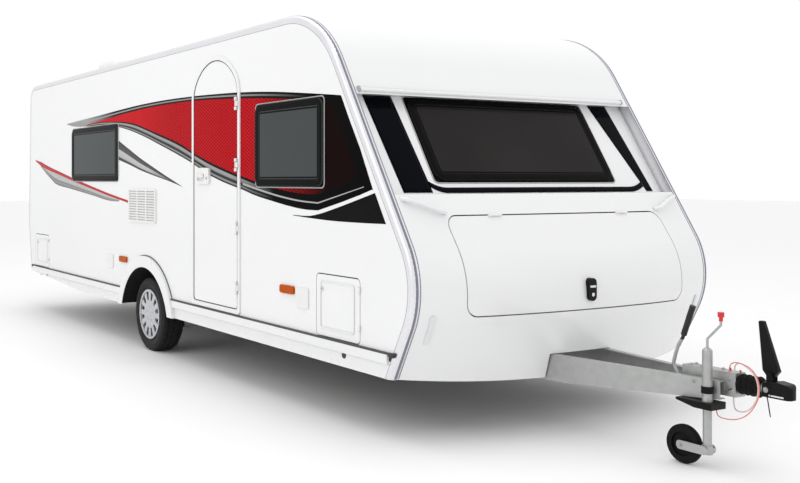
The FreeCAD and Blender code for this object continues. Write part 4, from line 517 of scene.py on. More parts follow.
# Silver line, black wedge ahead of it, grey leaf behind the rear window and red line to the tail.
# All are cut vinyl films; the two thin lines are laid over the wider films.
silver_film = finish("silver film", (0.42, 0.43, 0.43), (0.36, 0.37, 0.37), 0.2, 0.32, 12, 0.0001,
    Specular_IOR_Level=0.06)
SILVER = [(0.9, 1.402), (1.114, 1.365), (1.429, 1.318), (1.672, 1.293), (1.877, 1.284)]
SILVER_RISE = 0.2105


def silver_edge(sign):
    """Edge of the silver line: its middle curve, then a slope, plus or minus a tapering half width."""
    def edge(x):
        middle = np.where(x < SILVER[-1][0], through(SILVER)(x),
            SILVER[-1][1] + (x - SILVER[-1][0]) * SILVER_RISE)
        return middle + sign * (0.007 - 0.0045 * np.clip((x - 1.0) / 1.3, 0, 1))
    return edge


film("silver_line", silver_edge(1), silver_edge(-1), (0.93, 2.352), silver_film, FILM)
black_film = film_material("black film", [(0.0, 0.006), (1.0, 0.007)])
WEDGE_TOP = [(1.589, 1.203), (1.81, 1.206), (1.9, 1.220), (2.061, 1.255), (2.456, 1.351), (2.6, 1.386)]
WEDGE_END = [(2.3, 1.610), (2.456, 1.351), (2.557, 1.183)]
WEDGE_LOW = [(1.589, 1.200), (1.788, 1.190), (2.008, 1.182), (2.314, 1.180), (2.557, 1.182)]
film("corner_back", lambda x: np.minimum(red_top(x) + 0.012, band_top(x)),
    lambda x: np.maximum(red_low(x) - 0.012, band_low(x)), (2.16, 2.36), black_film, -0.00015)
film("wedge", lambda x: np.minimum(through(WEDGE_TOP)(x), straight(WEDGE_END)(x)), through(WEDGE_LOW),
    (1.589, 2.557), black_film)
leaf_film = film_material("leaf film", [
    (0.0, 0.07), (0.30, 0.10), (0.40, 0.09), (0.46, 0.5), (0.80, 0.44), (0.86, 0.08), (1.0, 0.06)],
    (-0.7, -0.2, (0.05, 0.05, 0.055)))
LEAF_TOP = [(-1.45, 1.800), (-1.375, 1.774), (-1.106, 1.683), (-0.884, 1.609), (-0.672, 1.547),
    (-0.468, 1.488), (-0.033, 1.369)]
LEAF_LOW = [(-1.45, 1.617), (-1.363, 1.601), (-1.106, 1.553), (-0.884, 1.508), (-0.569, 1.456),
    (-0.274, 1.411), (-0.033, 1.369)]
film("leaf", through(LEAF_TOP), through(LEAF_LOW), (-1.40, -0.033), leaf_film)
RED_LINE = [(-3.849, 1.639), (-3.6, 1.588), (-3.333, 1.540), (-3.002, 1.491), (-2.537, 1.419),
    (-2.107, 1.358), (-1.583, 1.287), (-1.129, 1.233)]
tail_red = finish("red line film", (0.5, 0.02, 0.02), (0.4, 0.016, 0.016), 0.2, 0.3, 8, 0.0001,
    Specular_IOR_Level=0.06)


def red_edge(sign):
    """Edge of the red line: its curve plus or minus a half width, widest near its tip, then even."""
    def edge(x):
        rise = np.clip((x - RED_LINE[0][0]) / 0.22, 0, 1)
        half = 0.0045 + 0.0135 * rise * np.exp(-np.clip(x + 3.63, 0, 9) * 1.1) + 0.0050 * rise
        return through(RED_LINE)(x) + sign * half
    return edge


film("red_line", red_edge(1), red_edge(-1), (RED_LINE[0][0], RED_LINE[-1][0]), tail_red, FILM)
TAIL_LOW = [(-3.70, 1.590), (-3.613, 1.554), (-3.4, 1.470), (-3.266, 1.424), (-3.16, 1.388), (-3.099, 1.377),
    (-2.688, 1.338), (-2.107, 1.285), (-1.459, 1.232), (-1.3, 1.236)]
tail_film = film_material("tail film", [
    (0.0, 0.42), (0.35, 0.5), (0.55, 0.46), (0.62, 0.2), (0.75, 0.32), (0.93, 0.24), (1.0, 0.1)])
film("tail_fill", through(RED_LINE), through(TAIL_LOW), (-3.66, -1.36), tail_film)


# Window borders: the printed dark margin, inner bead and pale rubber seal of each acrylic window.
# Every one is a small section carried round a rounded rectangle on its wall.
def round_loop(area, grow):
    """Rounded rectangle grown by an amount: corner arcs centre + r (cos a, sin a), joined in order."""
    u0, u1, v0, v1, radius = area
    radius_now = max(radius + grow, 0.002)
    inset = radius - grow if radius + grow < 0.002 else radius
    centres = np.array([(u1 - inset, v1 - inset), (u0 + inset, v1 - inset),
                        (u0 + inset, v0 + inset), (u1 - inset, v0 + inset)])
    angle = (np.arange(4)[:, None] + np.linspace(0, 1, 10)) * math.pi / 2
    arcs = centres[:, None] + radius_now * np.stack([np.cos(angle), np.sin(angle)], -1)
    return arcs.reshape(-1, 2)


def section_round(area, steps, place):
    """Patch of a section's (grow, height) steps carried round a rounded rectangle."""
    rows = []
    for grow, height in steps:
        loop = round_loop(area, grow)
        rows.append(place(loop[:, 0], loop[:, 1], height))
    return np.stack(rows), False, True, None


def on_plane(axis, sign, level):
    """Maps (u, v, height) to space on a flat face: that axis holds sign x (level + height)."""
    def place(u, v, h):
        parts = [u, v]
        parts.insert(axis, np.full_like(u, sign * (level + h)))
        return np.stack(parts, -1)
    return place


def on_slope(centre, angle):
    """Maps (y, distance up the slope, height) to space on a wall whose normal stands at an angle."""
    out = np.array([math.cos(angle), 0, math.sin(angle)])
    up = np.array([-math.sin(angle), 0, math.cos(angle)]) * (1 if abs(angle) < 1.5 else -1)

    def place(u, v, h):
        flat = np.asarray(centre) + np.multiply.outer(v, up) + np.multiply.outer(np.zeros_like(v) + h, out)
        flat[..., 1] += u
        return flat
    return place


WALL, FRONT_LEAN, FRONT_MIDDLE = 1.175, math.radians(31.4), 1.665
FRONT_PLACE = on_slope((2.2853, 0, FRONT_MIDDLE), FRONT_LEAN)
FRONT_OUT = (1, 0, 0.6)
REAR_PLACE = on_slope((-4.0923, 0, 1.625), math.radians(177.5))
SIDES = (("right", -1), ("left", 1))
window_sets = [("side_%s_%s" % (key, name), pane, on_plane(1, side, WALL), (0, side, 0))
    for key, side in SIDES for name, pane in PANES.items()]
window_sets += [("front", (-0.729, 0.729, -0.291, 0.291, 0.080), FRONT_PLACE, FRONT_OUT),
    ("rear", (-0.578, 0.578, -0.283, 0.283, 0.062), REAR_PLACE, (-1, 0, 0))]
margin = finish("printed window margin", (0.003, 0.0031, 0.0033), (0.005, 0.0052, 0.0055), 0.16, 0.28, 8,
    0.0001, Specular_IOR_Level=0.03)
seal = finish("grey window seal", (0.42, 0.42, 0.42), (0.36, 0.36, 0.36), 0.5, 0.65, 40)
MARGIN = [(-0.0015, 0.0143), (-0.004, 0.0149), (-0.041, 0.0149), (-0.0435, 0.0144)]
BEAD = [(-0.050, 0.0102), (-0.052, 0.0118), (-0.058, 0.0118), (-0.060, 0.0102)]
LIP = [(0.0085, 0.0003), (0.0075, 0.0035), (0.0045, 0.0048), (0.0012, 0.0035), (0.0002, 0.0003)]
for label, pane, place, facing in window_sets:
    gap = 0.010 if label == "front" else 0.004
    square, within = ((pane[0] - g, pane[1] + g, pane[2] - g, pane[3] + g, 0.026) for g in (gap, -0.02))
    surround = [section_round(area, [(0, 0.0012)], place)[0] for area in (square, within)]
    for kind, patch, slot, material in (
            ("margin", section_round(pane, MARGIN, place), "tinted_acrylic", margin),
            ("bead", section_round(pane, BEAD, place), "tinted_acrylic", margin),
            ("surround", (np.concatenate(surround), False, True, None), "tinted_acrylic", margin),
            ("seal", section_round(square, LIP, place), "rubber_black", seal)):
        piece("window_%s_%s" % (kind, label), [patch], slot, material, facing=facing,
            smooth=kind != "surround")

# Front wall dressing: black gloss plastic strips beside the window and a band at its foot.
# They are thin flat plates, bonded to the sloping front wall.
gloss_black = finish("black gloss strip", (0.001, 0.0014, 0.003), (0.0016, 0.0022, 0.004), 0.06, 0.12, 3,
    0.0003, Specular_IOR_Level=0.03)


def front_plate(name, y, z, height):
    """Gloss plate on the front wall from grids of y and z: its place up the slope is z over cos."""
    points = FRONT_PLACE(y, (z - FRONT_MIDDLE) / math.cos(FRONT_LEAN), height)
    piece(name, [(points, False, False, None)], "white_panel", gloss_black, thick=0.003, facing=FRONT_OUT,
        smooth=False)


STRIP_FOOT, STRIP_HEAD = 1.350, 1.924
across, up = np.meshgrid(np.linspace(0, 1, 12), np.linspace(0, 1, 24))
for key, foot, head in (
        ("right", (-0.992, -0.786), (-1.030, -0.823)), ("left", (0.990, 1.046), (0.823, 0.990))):
    edges = [foot[i] + (head[i] - foot[i]) * up for i in (0, 1)]
    front_plate("front_strip_" + key, edges[0] + (edges[1] - edges[0]) * across,
        STRIP_FOOT + (STRIP_HEAD - STRIP_FOOT) * up, 0.0034)
band_y = np.linspace(-0.790, 0.985, 90)
band_rise = 0.036 * np.clip(np.maximum(-0.67 - band_y, (band_y - 0.84) * 0.85) / 0.12, 0, 1) ** 2
band_z = np.linspace(1.347, 1.378, 4)[:, None] + band_rise
front_plate("front_band", np.broadcast_to(band_y, band_z.shape), band_z, 0.0036)

# Cap rail: a slim gutter along the cap's lower edge, white with a grey line and end stops.
# The gutter is a straight extrusion screwed to the cap, and the stops are moulded plastic.
RAIL_PLACE = on_slope((2.1957, 0, 1.950), FRONT_LEAN)
rail_y = np.linspace(-1.10, 1.06, 2)
GUTTER = [(-0.017, 0.0002), (-0.017, 0.012), (-0.012, 0.017), (0.004, 0.017), (0.008, 0.013), (0.008, 0.0002)]
GREY_LINE = [(0.0085, 0.0002), (0.0085, 0.0085), (0.0125, 0.0085), (0.0125, 0.0002)]
for name, section, slot, material in (("cap_rail", GUTTER, "white_panel", painted_white),
                                      ("cap_rail_line", GREY_LINE, "edge_aluminium", seal)):
    piece(name, [(np.stack([RAIL_PLACE(rail_y, np.full(2, v), h) for v, h in section]), False, False, None)],
        slot, material, facing=FRONT_OUT)
ring = np.array([(-0.020, 0.0002), (-0.020, 0.016), (-0.014, 0.020), (0.010, 0.020), (0.015, 0.014),
                 (0.015, 0.0002)])
stops = []
for low, high in ((-1.112, -1.0995), (1.0595, 1.066)):
    sides = [RAIL_PLACE(np.full(6, y), ring[:, 0], ring[:, 1]) for y in (low, high)]
    ends = [np.repeat(side.mean(axis=0, keepdims=True), 6, axis=0) for side in sides]
    stops.append((np.stack([ends[0], sides[0], sides[1], ends[1]]), False, True, None))
piece("cap_rail_stops", stops, "white_panel", seal)


# Corner trim inserts: two grey vinyl strips pressed into each aluminium section over its screws,
# and a line of grey sealant drawn along the joint between trim and wall.
def outline(inset):
    """Side profile moved in by an amount: straight runs between arcs set in each corner."""
    angles = np.radians([-27, 31.4, 90, 177.5, 191])
    reach = np.array([2.1677, 2.8901, 2.465, 4.1593, 3.8635]) - inset
    radii = np.array([0.48, 0.68, 0.17, 0.60]) - inset
    pieces = []
    for (a, b), (p, q), radius in zip(zip(angles, angles[1:]), zip(reach, reach[1:]), radii):
        centre = np.linalg.solve([[math.cos(a), math.sin(a)], [math.cos(b), math.sin(b)]],
            [p - radius, q - radius])
        turn = np.linspace(a, b, 24)
        pieces.append(centre + radius * np.stack([np.cos(turn), np.sin(turn)], -1))
    foot = np.linalg.solve([[math.cos(angles[0]), math.sin(angles[0])], [0, 1]], [reach[0], 0.342])
    tail = np.linalg.solve([[math.cos(angles[4]), math.sin(angles[4])], [0, 1]], [reach[4], 0.430])
    return np.concatenate([[foot], *pieces, [tail]])


insert = finish("grey trim insert", (0.16, 0.16, 0.22), (0.21, 0.21, 0.26), 0.35, 0.5, 20)
joint = finish("grey joint sealant", (0.36, 0.36, 0.37), (0.3, 0.3, 0.31), 0.5, 0.65, 40)
CORNER_LINE = [(1.1585, 0.0019), (1.1540, 0.0), (1.1490, -0.0010), (1.1430, -0.0008), (1.1425, 0.0001)]
FRONT_LINE = [(1.1318, 0.0001), (1.1310, -0.0010), (1.1262, -0.0010), (1.1254, 0.0001)]
for key, side in SIDES:
    for tag, section in (("corner", CORNER_LINE), ("front", FRONT_LINE)):
        path = [np.insert(outline(inset), 1, side * y, axis=1) for y, inset in section]
        piece("trim_%s_line_%s" % (tag, key), [(np.stack(path), False, False, None)], "edge_aluminium",
            insert)
    path = [np.insert(outline(inset), 1, side * (1.1751 + lift), axis=1)
            for inset, lift in ((0.0486, 0), (0.0492, 0.0006), (0.0518, 0.0006), (0.0524, 0))]
    piece("trim_joint_" + key, [(np.stack(path), False, False, None)], "edge_aluminium", joint,
        facing=(0, side, 0))

# Rail and wheel arch lines: a dark seal strip in the rail's top edge with a plug at each end and a dark bead
# round the arch band, both dark as painted shade of the shadow gap at their joints, and the black liner that
# is riveted inside the arch.
ARCH = (-0.75, 0.2)
RAIL_STRIP = [(1.1755, 0.4868), (1.1905, 0.4868), (1.1928, 0.4845), (1.1928, 0.4765), (1.1900, 0.4750)]
# Painted shade: this dark colour on the rail strip and arch bead stands for the shadow in the gaps at their
# joints.
edge_seal_and_gap_shade = finish("dark edge seal and painted gap shade", (0.05, 0.05, 0.052), (0.08, 0.08, 0.082), 0.45, 0.6, 40,
    Specular_IOR_Level=0.2)
liner = finish("black arch liner", (0.008, 0.008, 0.009), (0.014, 0.014, 0.015), 0.6, 0.8, 30, 0.0008,
    Specular_IOR_Level=0.15)


def round_arch(side, section, low, high):
    """Patch of (radius, y) steps carried round the wheel arch between two angles in degrees."""
    turn = np.radians(np.linspace(low, high, 72))
    rows = [np.stack([ARCH[0] + radius * np.cos(turn), np.full_like(turn, side * y),
                      ARCH[1] + radius * np.sin(turn)], -1) for radius, y in section]
    return np.stack(rows), False, False, None


for key, side in SIDES:
    strips = []
    for ends in ((-3.90, -1.266), (-0.234, 2.610)):
        rows = [[(x, side * y, z) for x in ends] for y, z in RAIL_STRIP]
        strips.append((np.array(rows), False, False, None))
    # Painted shade of the shadow gap at the rail's top and round the arch band, drawn as dark seals.
    piece("rail_seal_and_gap_shade_" + key, strips, "rubber_black", edge_seal_and_gap_shade, facing=(0, side, 0))
    piece("arch_seal_and_gap_shade_" + key, [round_arch(side, [(0.5905, 1.1755), (0.5905, 1.1800), (0.5930, 1.1815),
                                                 (0.5965, 1.1800), (0.5965, 1.1755)], 28.5, 151.5)],
          "rubber_black", edge_seal_and_gap_shade, facing=(0, side, 0))
    piece("arch_liner_" + key, [round_arch(side, [(0.4966, 0.900), (0.4966, 1.2035), (0.4930, 1.2035),
                                                  (0.4930, 0.900)], 17.5, 162.5)], "black_plastic", liner)

# Road tyres: black rubber carcass turned round the axle, tread blocks cut by three grooves and sipes.
# Radius at a turn angle = profile radius, less a sipe depth in every sixth column of the tread.
TREAD_COLUMNS = 6 * 70
TYRE_RINGS = np.array([(0.1886, 0.1794), (0.1886, 0.0156), (0.2132, 0.0150), (0.2180, 0.0118),
    (0.2215, 0.0112), (0.2235, 0.0096), (0.2420, 0.0046), (0.2440, 0.0030), (0.2600, 0.0008),
    (0.2690, 0.0012), (0.2720, 0.0030), (0.2850, 0.0060), (0.2935, 0.0098), (0.2995, 0.0150),
    (0.3020, 0.0220), (0.3030, 0.0330), (0.3034, 0.0440), (0.2965, 0.0455), (0.2965, 0.0525),
    (0.3036, 0.0540), (0.3040, 0.0700), (0.3040, 0.0915), (0.2970, 0.0930), (0.2970, 0.1020),
    (0.3040, 0.1035), (0.3040, 0.1250), (0.3036, 0.1410), (0.2965, 0.1425), (0.2965, 0.1495),
    (0.3034, 0.1510), (0.3030, 0.1620), (0.3020, 0.1730), (0.2995, 0.1800), (0.2935, 0.1852),
    (0.2850, 0.1890), (0.2690, 0.1938), (0.2600, 0.1942), (0.2350, 0.1900), (0.2132, 0.1800)])
AXLE = (-0.75, 0.304)
TYRE_FACE, TYRE_MIDDLE, TREAD_FOOT, SIPE_DEPTH = 1.155, 0.0975, 0.2925, 0.0045
tread_rubber = finish("tyre rubber", (0.011, 0.011, 0.0115), (0.019, 0.019, 0.0195), 0.55, 0.75, 40, 0.0004,
    Specular_IOR_Level=0.2)
turn = np.linspace(0, 2 * math.pi, TREAD_COLUMNS, endpoint=False)
rings, depth = TYRE_RINGS[:, :1], TYRE_RINGS[:, 1:]
tread_zone = np.clip((rings - TREAD_FOOT) / 0.004, 0, 1)
radius = rings - (np.arange(TREAD_COLUMNS) % 6 == 0) * SIPE_DEPTH * tread_zone
skew = turn + (depth - TYRE_MIDDLE) * 0.9 * tread_zone
for key, side in SIDES:
    y = np.broadcast_to(side * (TYRE_FACE - depth), radius.shape)
    points = np.stack([AXLE[0] + radius * np.cos(skew), y, AXLE[1] + radius * np.sin(skew)], -1)
    tyre = piece("tyre_surface_" + key, [(points, True, True, None)], "tyre_black", tread_rubber,
        "wheel_" + key)
    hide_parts("tyre_" + key)

# Wheel trims: clip-on plastic covers with silver spokes over a dish painted dark as shade, the two told apart
# by depth inside the cover, and the five nut caps on their circle in the middle.
cover = finish("silver wheel trim with painted dish shade", (0.54, 0.55, 0.57), (0.47, 0.48, 0.50), 0.22, 0.36, 30, Metallic=0.7)


def split_tone(material, axis, edge, width, colour, absolute=False, metallic=None):
    """Turns the part of a material past an object coordinate to another colour, and its metal too."""
    tree = material.node_tree
    body = tree.nodes["Principled BSDF"]
    mask = axis_run(tree, axis, edge - width / 2, edge + width / 2, absolute)
    base = body.inputs["Base Color"]
    tree.links.new(towards(tree, base.links[0].from_socket, mask, colour), base)
    if metallic is not None:
        metal = shader_node(tree, "MapRange", To_Min=metallic[0], To_Max=metallic[1])
        tree.links.new(mask, metal.inputs["Value"])
        wire(tree, (metal, "Result", body, "Metallic"))
    return material


# Painted shade: the rims deeper than the cover's face turn dark and less metallic, for the shadow in the
# dish.
split_tone(cover, "Y", 1.1285, -0.003, (0.035, 0.035, 0.037), True, (0.7, 0.1))
paint(cover, "rim_left", "rim_right")
NUT_CIRCLE, NUT_FACE = 0.058, 1.1446
turns = np.linspace(0, 2 * math.pi, 7)[:-1]
for key, side in SIDES:
    patches = []
    for number in range(5):
        about = 2 * math.pi * number / 5 + math.pi / 2
        x, z = AXLE[0] + NUT_CIRCLE * math.cos(about), AXLE[1] + NUT_CIRCLE * math.sin(about)
        grid = [np.stack([x + r * np.cos(turns), np.full(6, side * (NUT_FACE - depth)),
                          z + r * np.sin(turns)], -1)
                for r, depth in ((0.0001, 0.0006), (0.0042, 0.0006), (0.0050, 0.0016), (0.0050, 0.0085))]
        patches.append((np.stack(grid), False, True, None))
    piece("wheel_nuts_" + key, patches, "galvanised_steel", silver_film, "wheel_" + key, facing=(0, side, 0))

# Service doors and skirt: a slim white frame round each hatch's middle panel, a chromed lock
# barrel with a dark disc of painted shade in its slot, and rubber plugs in the skirt's holes and the rail's
# ends.
CAP = [(0, 0.00001), (0, 1), (0.8, 1), (0.95, 0.86), (1, 0.7), (1, 0.00001)]


def knob_patch(start, end, radius, sides=20):
    """Closed turned rod with an eased end: circles at the shares and sizes of CAP along a line."""
    start, end = np.asarray(start, float), np.asarray(end, float)
    along = (end - start) / np.linalg.norm(end - start)
    other = np.cross(along, (0, 0, 1) if abs(along[2]) < 0.9 else (1, 0, 0))
    other = other / np.linalg.norm(other)
    third = np.cross(along, other)
    turn = np.linspace(0, 2 * math.pi, sides, endpoint=False)
    circle = np.multiply.outer(np.cos(turn), other) + np.multiply.outer(np.sin(turn), third)
    rows = [start + (end - start) * share + size * radius * circle for share, size in CAP]
    return np.stack(rows), False, True, None


def knobs(name, rods, slot, material, body="caravan"):
    """Piece of turned rods, each given as start, end, radius and perhaps its number of sides."""
    piece(name, [knob_patch(*rod) for rod in rods], slot, material, body)


# Bright chrome for the lock barrels and the latch, and a painted highlight on the coupling's cheeks.
chrome_and_painted_highlight = finish("bright chrome", (0.72, 0.73, 0.74), (0.64, 0.65, 0.66), 0.06, 0.12, 20, 0.0001, Metallic=1.0)
# Dark rubber for plugs, seals and the plate holder, and painted shade for the keyhole slots and the door gap.
dark_rubber_and_painted_shade = finish("dark seal rubber and painted shade", (0.02, 0.02, 0.021), (0.035, 0.035, 0.036), 0.55, 0.7, 40)
for tag, side, x0, x1, high, x, z in (("front", -1, 1.863, 2.303, 0.858, 1.927, 0.772),
                                      ("rear", -1, -3.817, -3.381, 0.830, -3.739, 0.744),
                                      ("left", 1, -3.279, -2.907, 0.830, -2.990, 0.744)):
    piece("service_frame_" + tag, [section_round((x0 + 0.046, x1 - 0.046, 0.540, high - 0.042, 0.016), [
        (0.004, 0), (0.003, 0.0016), (-0.003, 0.0016), (-0.004, 0)], on_plane(1, side, 1.1791))],
          "white_panel", painted_white, "hatch_" + tag, facing=(0, side, 0))
    knobs("service_lock_" + tag, [((x, side * 1.1790, z), (x, side * 1.1835, z), 0.0105)], "galvanised_steel",
        chrome_and_painted_highlight, "hatch_" + tag)
    # Painted shade: a dark disc on each barrel for its keyhole's shadow.
    knobs("service_slot_" + tag, [((x, side * 1.1830, z), (x, side * 1.1840, z), 0.0042, 12)], "rubber_black",
        dark_rubber_and_painted_shade, "hatch_" + tag)
knobs("skirt_plugs", [((2.154, -1.1745, 0.408), (2.154, -1.1775, 0.408), 0.021),
                      ((-3.437, -1.1745, 0.410), (-3.437, -1.1775, 0.410), 0.0125),
                      ((2.606, -1.1850, 0.4765), (2.644, -1.1850, 0.4765), 0.0135),
                      ((-3.925, -1.1850, 0.4765), (-3.895, -1.1850, 0.4765), 0.0135)],
      "rubber_black", dark_rubber_and_painted_shade)


# Entrance door: a rubber seal pressed into the gap round the door leaf, dark as painted shade of that gap, a
# moulded lever over the handle's recess, and a chromed key barrel beside it, with a dark disc of painted
# shade in its keyhole.
DOOR_MIDDLE, DOOR_FOOT, FOOT_ROUND = 0.5185, 0.558, 0.028


def door_line(grow):
    """Door outline grown by an amount: straight sides under a three-centred arch, eased at its foot."""
    half, rise, haunch, spring = 0.3405 + grow, 0.260 + grow, 0.190 + grow, 2.020
    crown = (half * half - 2 * half * haunch + rise * rise) / (2 * (rise - haunch))
    tilt = math.atan2(half - haunch, crown - rise)
    arcs = [(half - haunch, spring, haunch, 0, math.pi / 2 - tilt),
            (0, spring + rise - crown, crown, math.pi / 2 - tilt, math.pi / 2 + tilt),
            (haunch - half, spring, haunch, math.pi / 2 + tilt, math.pi),
            (FOOT_ROUND - half, DOOR_FOOT - grow, FOOT_ROUND, math.pi, 1.5 * math.pi),
            (half - FOOT_ROUND, DOOR_FOOT - grow, FOOT_ROUND, 1.5 * math.pi, 2 * math.pi)]
    parts = []
    for x, z, radius, start, stop in arcs:
        turn = np.linspace(start, stop, 14)
        parts.append(np.stack([DOOR_MIDDLE + x + radius * np.cos(turn), z + radius * np.sin(turn)], -1))
    return np.concatenate(parts)


seal_rows = [np.insert(door_line(grow), 1, -depth, axis=1)
             for grow, depth in ((0.0006, 1.1700), (0.0008, 1.1815), (0.0020, 1.1836), (0.0050, 1.1838),
                                 (0.0063, 1.1825), (0.0064, 1.1700))]
# Painted shade: the seal is real rubber, and its dark colour stands for the shadow in the gap round the door.
piece("door_seal_and_gap_shade", [(np.stack(seal_rows), False, True, None)], "rubber_black", dark_rubber_and_painted_shade)
piece("door_lever", [section_round((0.262, 0.372, 1.440, 1.468, 0.012), [
    (-0.012, 0.0185), (-0.004, 0.0185), (0.0, 0.0225), (-0.002, 0.0262), (-0.006, 0.0275),
    (-0.0135, 0.0277)], on_plane(1, -1, 1.180))], "white_panel", moulded_white, "door", facing=(0, -1, 0))
knobs("door_lock_barrel", [((0.415, -1.1982, 1.437), (0.415, -1.2015, 1.437), 0.0115)], "galvanised_steel",
    chrome_and_painted_highlight, "door")
# Painted shade: a dark disc on the barrel for the keyhole's shadow.
knobs("door_lock_slot", [((0.415, -1.2014, 1.437), (0.415, -1.2020, 1.437), 0.0048, 12)], "rubber_black",
    dark_rubber_and_painted_shade, "door")

# Locker latch: a chromed band across the black drop handle and a key barrel below it.
# Both are pressed into the moulded latch on the locker's lid.
LATCH_FACE = 2.9294
piece("latch_band", [section_round((-0.024, 0.024, 0.812, 0.824, 0.004), [
    (0, 0.0), (0, 0.0012), (-0.0015, 0.0022), (-0.0059, 0.0024)], on_plane(0, 1, LATCH_FACE))],
      "galvanised_steel", chrome_and_painted_highlight, "locker_lid", facing=(1, 0, 0))
knobs("latch_barrel", [((LATCH_FACE - 0.001, 0, 0.772), (LATCH_FACE + 0.003, 0, 0.772), 0.011),
                       ((LATCH_FACE + 0.002, 0, 0.772), (LATCH_FACE + 0.0036, 0, 0.772), 0.005, 12)],
      "galvanised_steel", chrome_and_painted_highlight, "locker_lid")

# Lamp lenses and the fridge vent: the lenses at the nose are clear instead of amber, and a pale
# plastic baffle closes off the view behind the vent's slots.
split_tone(amber, "X", 2.5, 0.01, (0.72, 0.73, 0.74))
baffle = finish("pale vent baffle", (0.60, 0.60, 0.60), (0.52, 0.52, 0.52), 0.5, 0.6, 30)
piece("vent_baffle", [section_round((-1.108, -0.554, 1.080, 1.336, 0.010), [
    (0, 0.0002), (0, 0.0020), (-0.0099, 0.0020), (-0.12, 0.0020)], on_plane(1, -1, WALL))], "white_panel",
      baffle, facing=(0, -1, 0))

# Rear wall fittings: blank number plate on a dark holder with its lamp, a high brake lamp,
# and the raised ribs that divide each rear lamp. All are moulded and screwed on.
REAR_LOW = on_slope((-4.0757, 0, 0.720), math.radians(191))
LAMP_PLACE = on_slope((-4.1125, 0, 0.720), math.radians(180))


def plate_patch(area, steps, place):
    """Raised plate: its rounded section steps, closed over the middle by a last ring at a point."""
    u, v = (area[0] + area[1]) / 2, (area[2] + area[3]) / 2
    rim = section_round(area, steps, place)[0]
    middle = place(np.full(rim.shape[1], u), np.full(rim.shape[1], v), steps[-1][1])
    return np.concatenate([rim, middle[None]]), False, True, None


piece("plate_holder", [plate_patch((-0.272, 0.272, -0.068, 0.068, 0.012),
                                   [(0, 0.0002), (0, 0.004), (-0.002, 0.006)], REAR_LOW),
                       plate_patch((-0.075, 0.075, 0.074, 0.100, 0.008),
                                   [(0, 0.0002), (0, 0.018), (-0.004, 0.022)], REAR_LOW)],
      "rubber_black", dark_rubber_and_painted_shade)
piece("blank_plate", [plate_patch((-0.260, 0.260, -0.055, 0.055, 0.008),
                                  [(0, 0.0061), (0, 0.0072), (-0.001, 0.0076)], REAR_LOW)], "white_panel",
      finish("blank plate white", (0.7, 0.7, 0.69), (0.66, 0.66, 0.65), 0.3, 0.4, 30, 0.0001))
piece("brake_lamp", [plate_patch((-0.190, 0.190, 0.492, 0.520, 0.010),
                                 [(0, 0.0002), (0, 0.010), (-0.004, 0.014)], REAR_PLACE)], "lamp_red",
      finish("red reflector", (0.42, 0.008, 0.008), (0.3, 0.004, 0.004), 0.1, 0.2, 30,
             Specular_IOR_Level=0.3))
piece("rear_lamp_ribs", [
    plate_patch((side * 0.9888 - 0.086, side * 0.9888 + 0.086, z - 0.7225, z - 0.7175, 0.002),
                [(0, 0.0), (0, 0.0005), (-0.001, 0.0015)], LAMP_PLACE)
    for side in (-1, 1) for z in (0.690, 0.722, 0.754)], "rubber_black", dark_rubber_and_painted_shade)

# Roof: a grey bedding seal under the vent and under each dome, squeezed out
# as a low bead round the frame.
ROOF_FACE = 2.4652
bed = finish("roof bedding seal", (0.3, 0.3, 0.31), (0.24, 0.24, 0.25), 0.55, 0.7, 30, 0.0003)
piece("roof_seals", [
    section_round(area, [(0.014, 0), (0.012, 0.005), (0.004, 0.007), (-0.002, 0.005), (-0.002, 0)],
                  on_plane(2, 1, ROOF_FACE))
    for area in ((0.474, 1.008, -0.267, 0.267, 0.04), (-1.474, -1.020, -0.227, 0.227, 0.04),
                 (-2.448, -1.992, -0.978, -0.522, 0.05))], "rubber_black", bed)


# Hitch fastenings: plated hexagon bolts with washers, a blank rating plate and small red caps.
# The bolts hold the housing on the drawbar; the plate is riveted to the housing's door side.
def bolt_patches(foot, out, size=0.008, tall=0.007):
    """Washer, hexagon head and thread end, standing from a foot point along a direction."""
    foot, out = np.asarray(foot, float), np.asarray(out, float)
    return [knob_patch(foot - out * 0.001, foot + out * 0.0016, size * 1.45, 20),
            knob_patch(foot + out * 0.0010, foot + out * tall, size, 6),
            knob_patch(foot + out * (tall - 0.001), foot + out * (tall + 0.0025), size * 0.5, 12)]


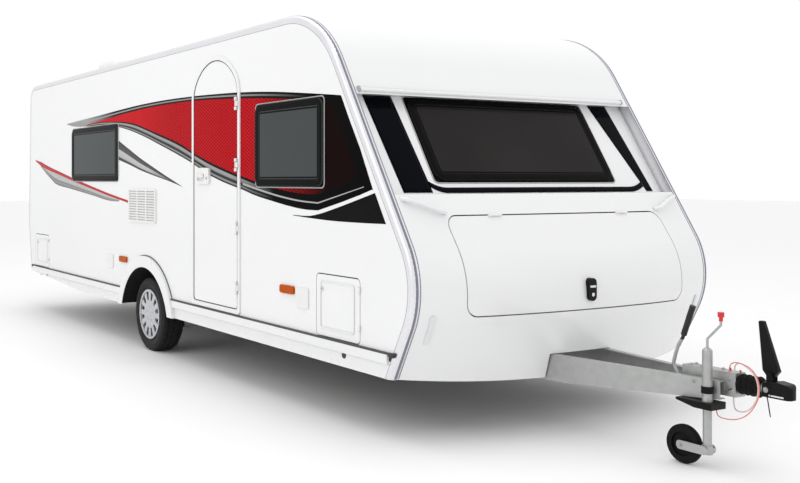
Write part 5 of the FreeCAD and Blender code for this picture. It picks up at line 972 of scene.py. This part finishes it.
plated = finish("zinc plated steel", (0.5, 0.5, 0.49), (0.38, 0.38, 0.37), 0.25, 0.4, 60, Metallic=0.8)
HOUSING_TOP, HOUSING_SIDE, ARM_START, ARM_HALF, ARM_SPREAD = 0.4817, 0.0385, 3.789, 0.0808, 0.155
fasteners = []
for x, y in ((3.585, -0.020), (3.585, 0.020), (3.645, -0.020), (3.645, 0.020), (3.742, 0.014)):
    fasteners += bolt_patches((x, y, HOUSING_TOP), (0, 0, 1))
for side, x, z in ((-1, 3.655, 0.420), (-1, 3.815, 0.452), (1, 3.655, 0.420), (1, 3.715, 0.420)):
    reach = HOUSING_SIDE if x > ARM_START else ARM_HALF + (ARM_START - x) * ARM_SPREAD
    fasteners += bolt_patches((x, side * reach, z), (0, side, 0))
piece("hitch_bolts", fasteners, "galvanised_steel", plated)
piece("rating_plate", [section_round((3.796, 3.838, 0.384, 0.416, 0.004), [
    (0, 0.0001), (0, 0.0011), (-0.002, 0.0013), (-0.0159, 0.0013)], on_plane(1, -1, 0.0382))],
      "galvanised_steel", plated, facing=(0, -1, 0))
knobs("housing_caps", [((3.778, 0.018, 0.4810), (3.778, 0.018, 0.4950), 0.0045, 16),
                       ((3.836, 0.012, 0.4810), (3.836, 0.012, 0.4930), 0.0045, 16)], "cable_red",
      finish("red moulded plastic", (0.62, 0.02, 0.02), (0.5, 0.015, 0.015), 0.25, 0.4, 40,
             Coat_Weight=0.3))

# Coupling trim: a chrome strip on each cheek as a painted highlight, a bolt on each cheek, and the locking
# pin under the head.
# Below them, the plated nuts hold the jockey wheel's axle in its fork.
cheek = [patch for side in (-1, 1)
         for patch in bolt_patches((3.998, side * 0.0342, 0.430), (0, side, 0), 0.009, 0.008)]
piece("coupling_bolts", cheek, "galvanised_steel", plated)
# Painted highlight: a bright chrome strip along each glossy black cheek where the light glints.
for key, side in SIDES:
    piece("coupling_highlight_strip_" + key, [section_round((4.012, 4.088, 0.403, 0.411, 0.003), [
        (0, 0.0001), (-0.0006, 0.0011), (-0.0039, 0.0013)], on_plane(1, side, 0.0340))],
          "galvanised_steel", chrome_and_painted_highlight, facing=(0, side, 0))
knobs("coupling_pin", [((3.996, -0.020, 0.398), (4.013, -0.020, 0.302), 0.0026, 12)], "black_steel",
    satin_black)
piece("fork_nuts", bolt_patches((3.615, -0.1490, 0.098), (0, -1, 0), 0.009, 0.008)
    + bolt_patches((3.615, -0.0750, 0.098), (0, 1, 0), 0.009, 0.008), "galvanised_steel", plated, "nose_fork")


# Lever finishes: galvanised steel whose end is dipped or capped in plastic. The handbrake's
# black grip and the crank's red knob begin at their own heights.
def galvanised_with(name, height, colour):
    """Galvanised finish that turns to a coloured grip above a height."""
    made = finish(name, (0.36, 0.37, 0.37), (0.5, 0.51, 0.51), 0.34, 0.5, 30, 0.0003, Metallic=0.7)
    return split_tone(made, "Z", height, 0.002, colour, metallic=(0.7, 0.0))


paint(galvanised_with("brake lever finish", 0.600, (0.004, 0.004, 0.0045)), "handbrake_lever")
paint(galvanised_with("crank finish", 0.738, (0.62, 0.02, 0.02)), "jockey_crank")
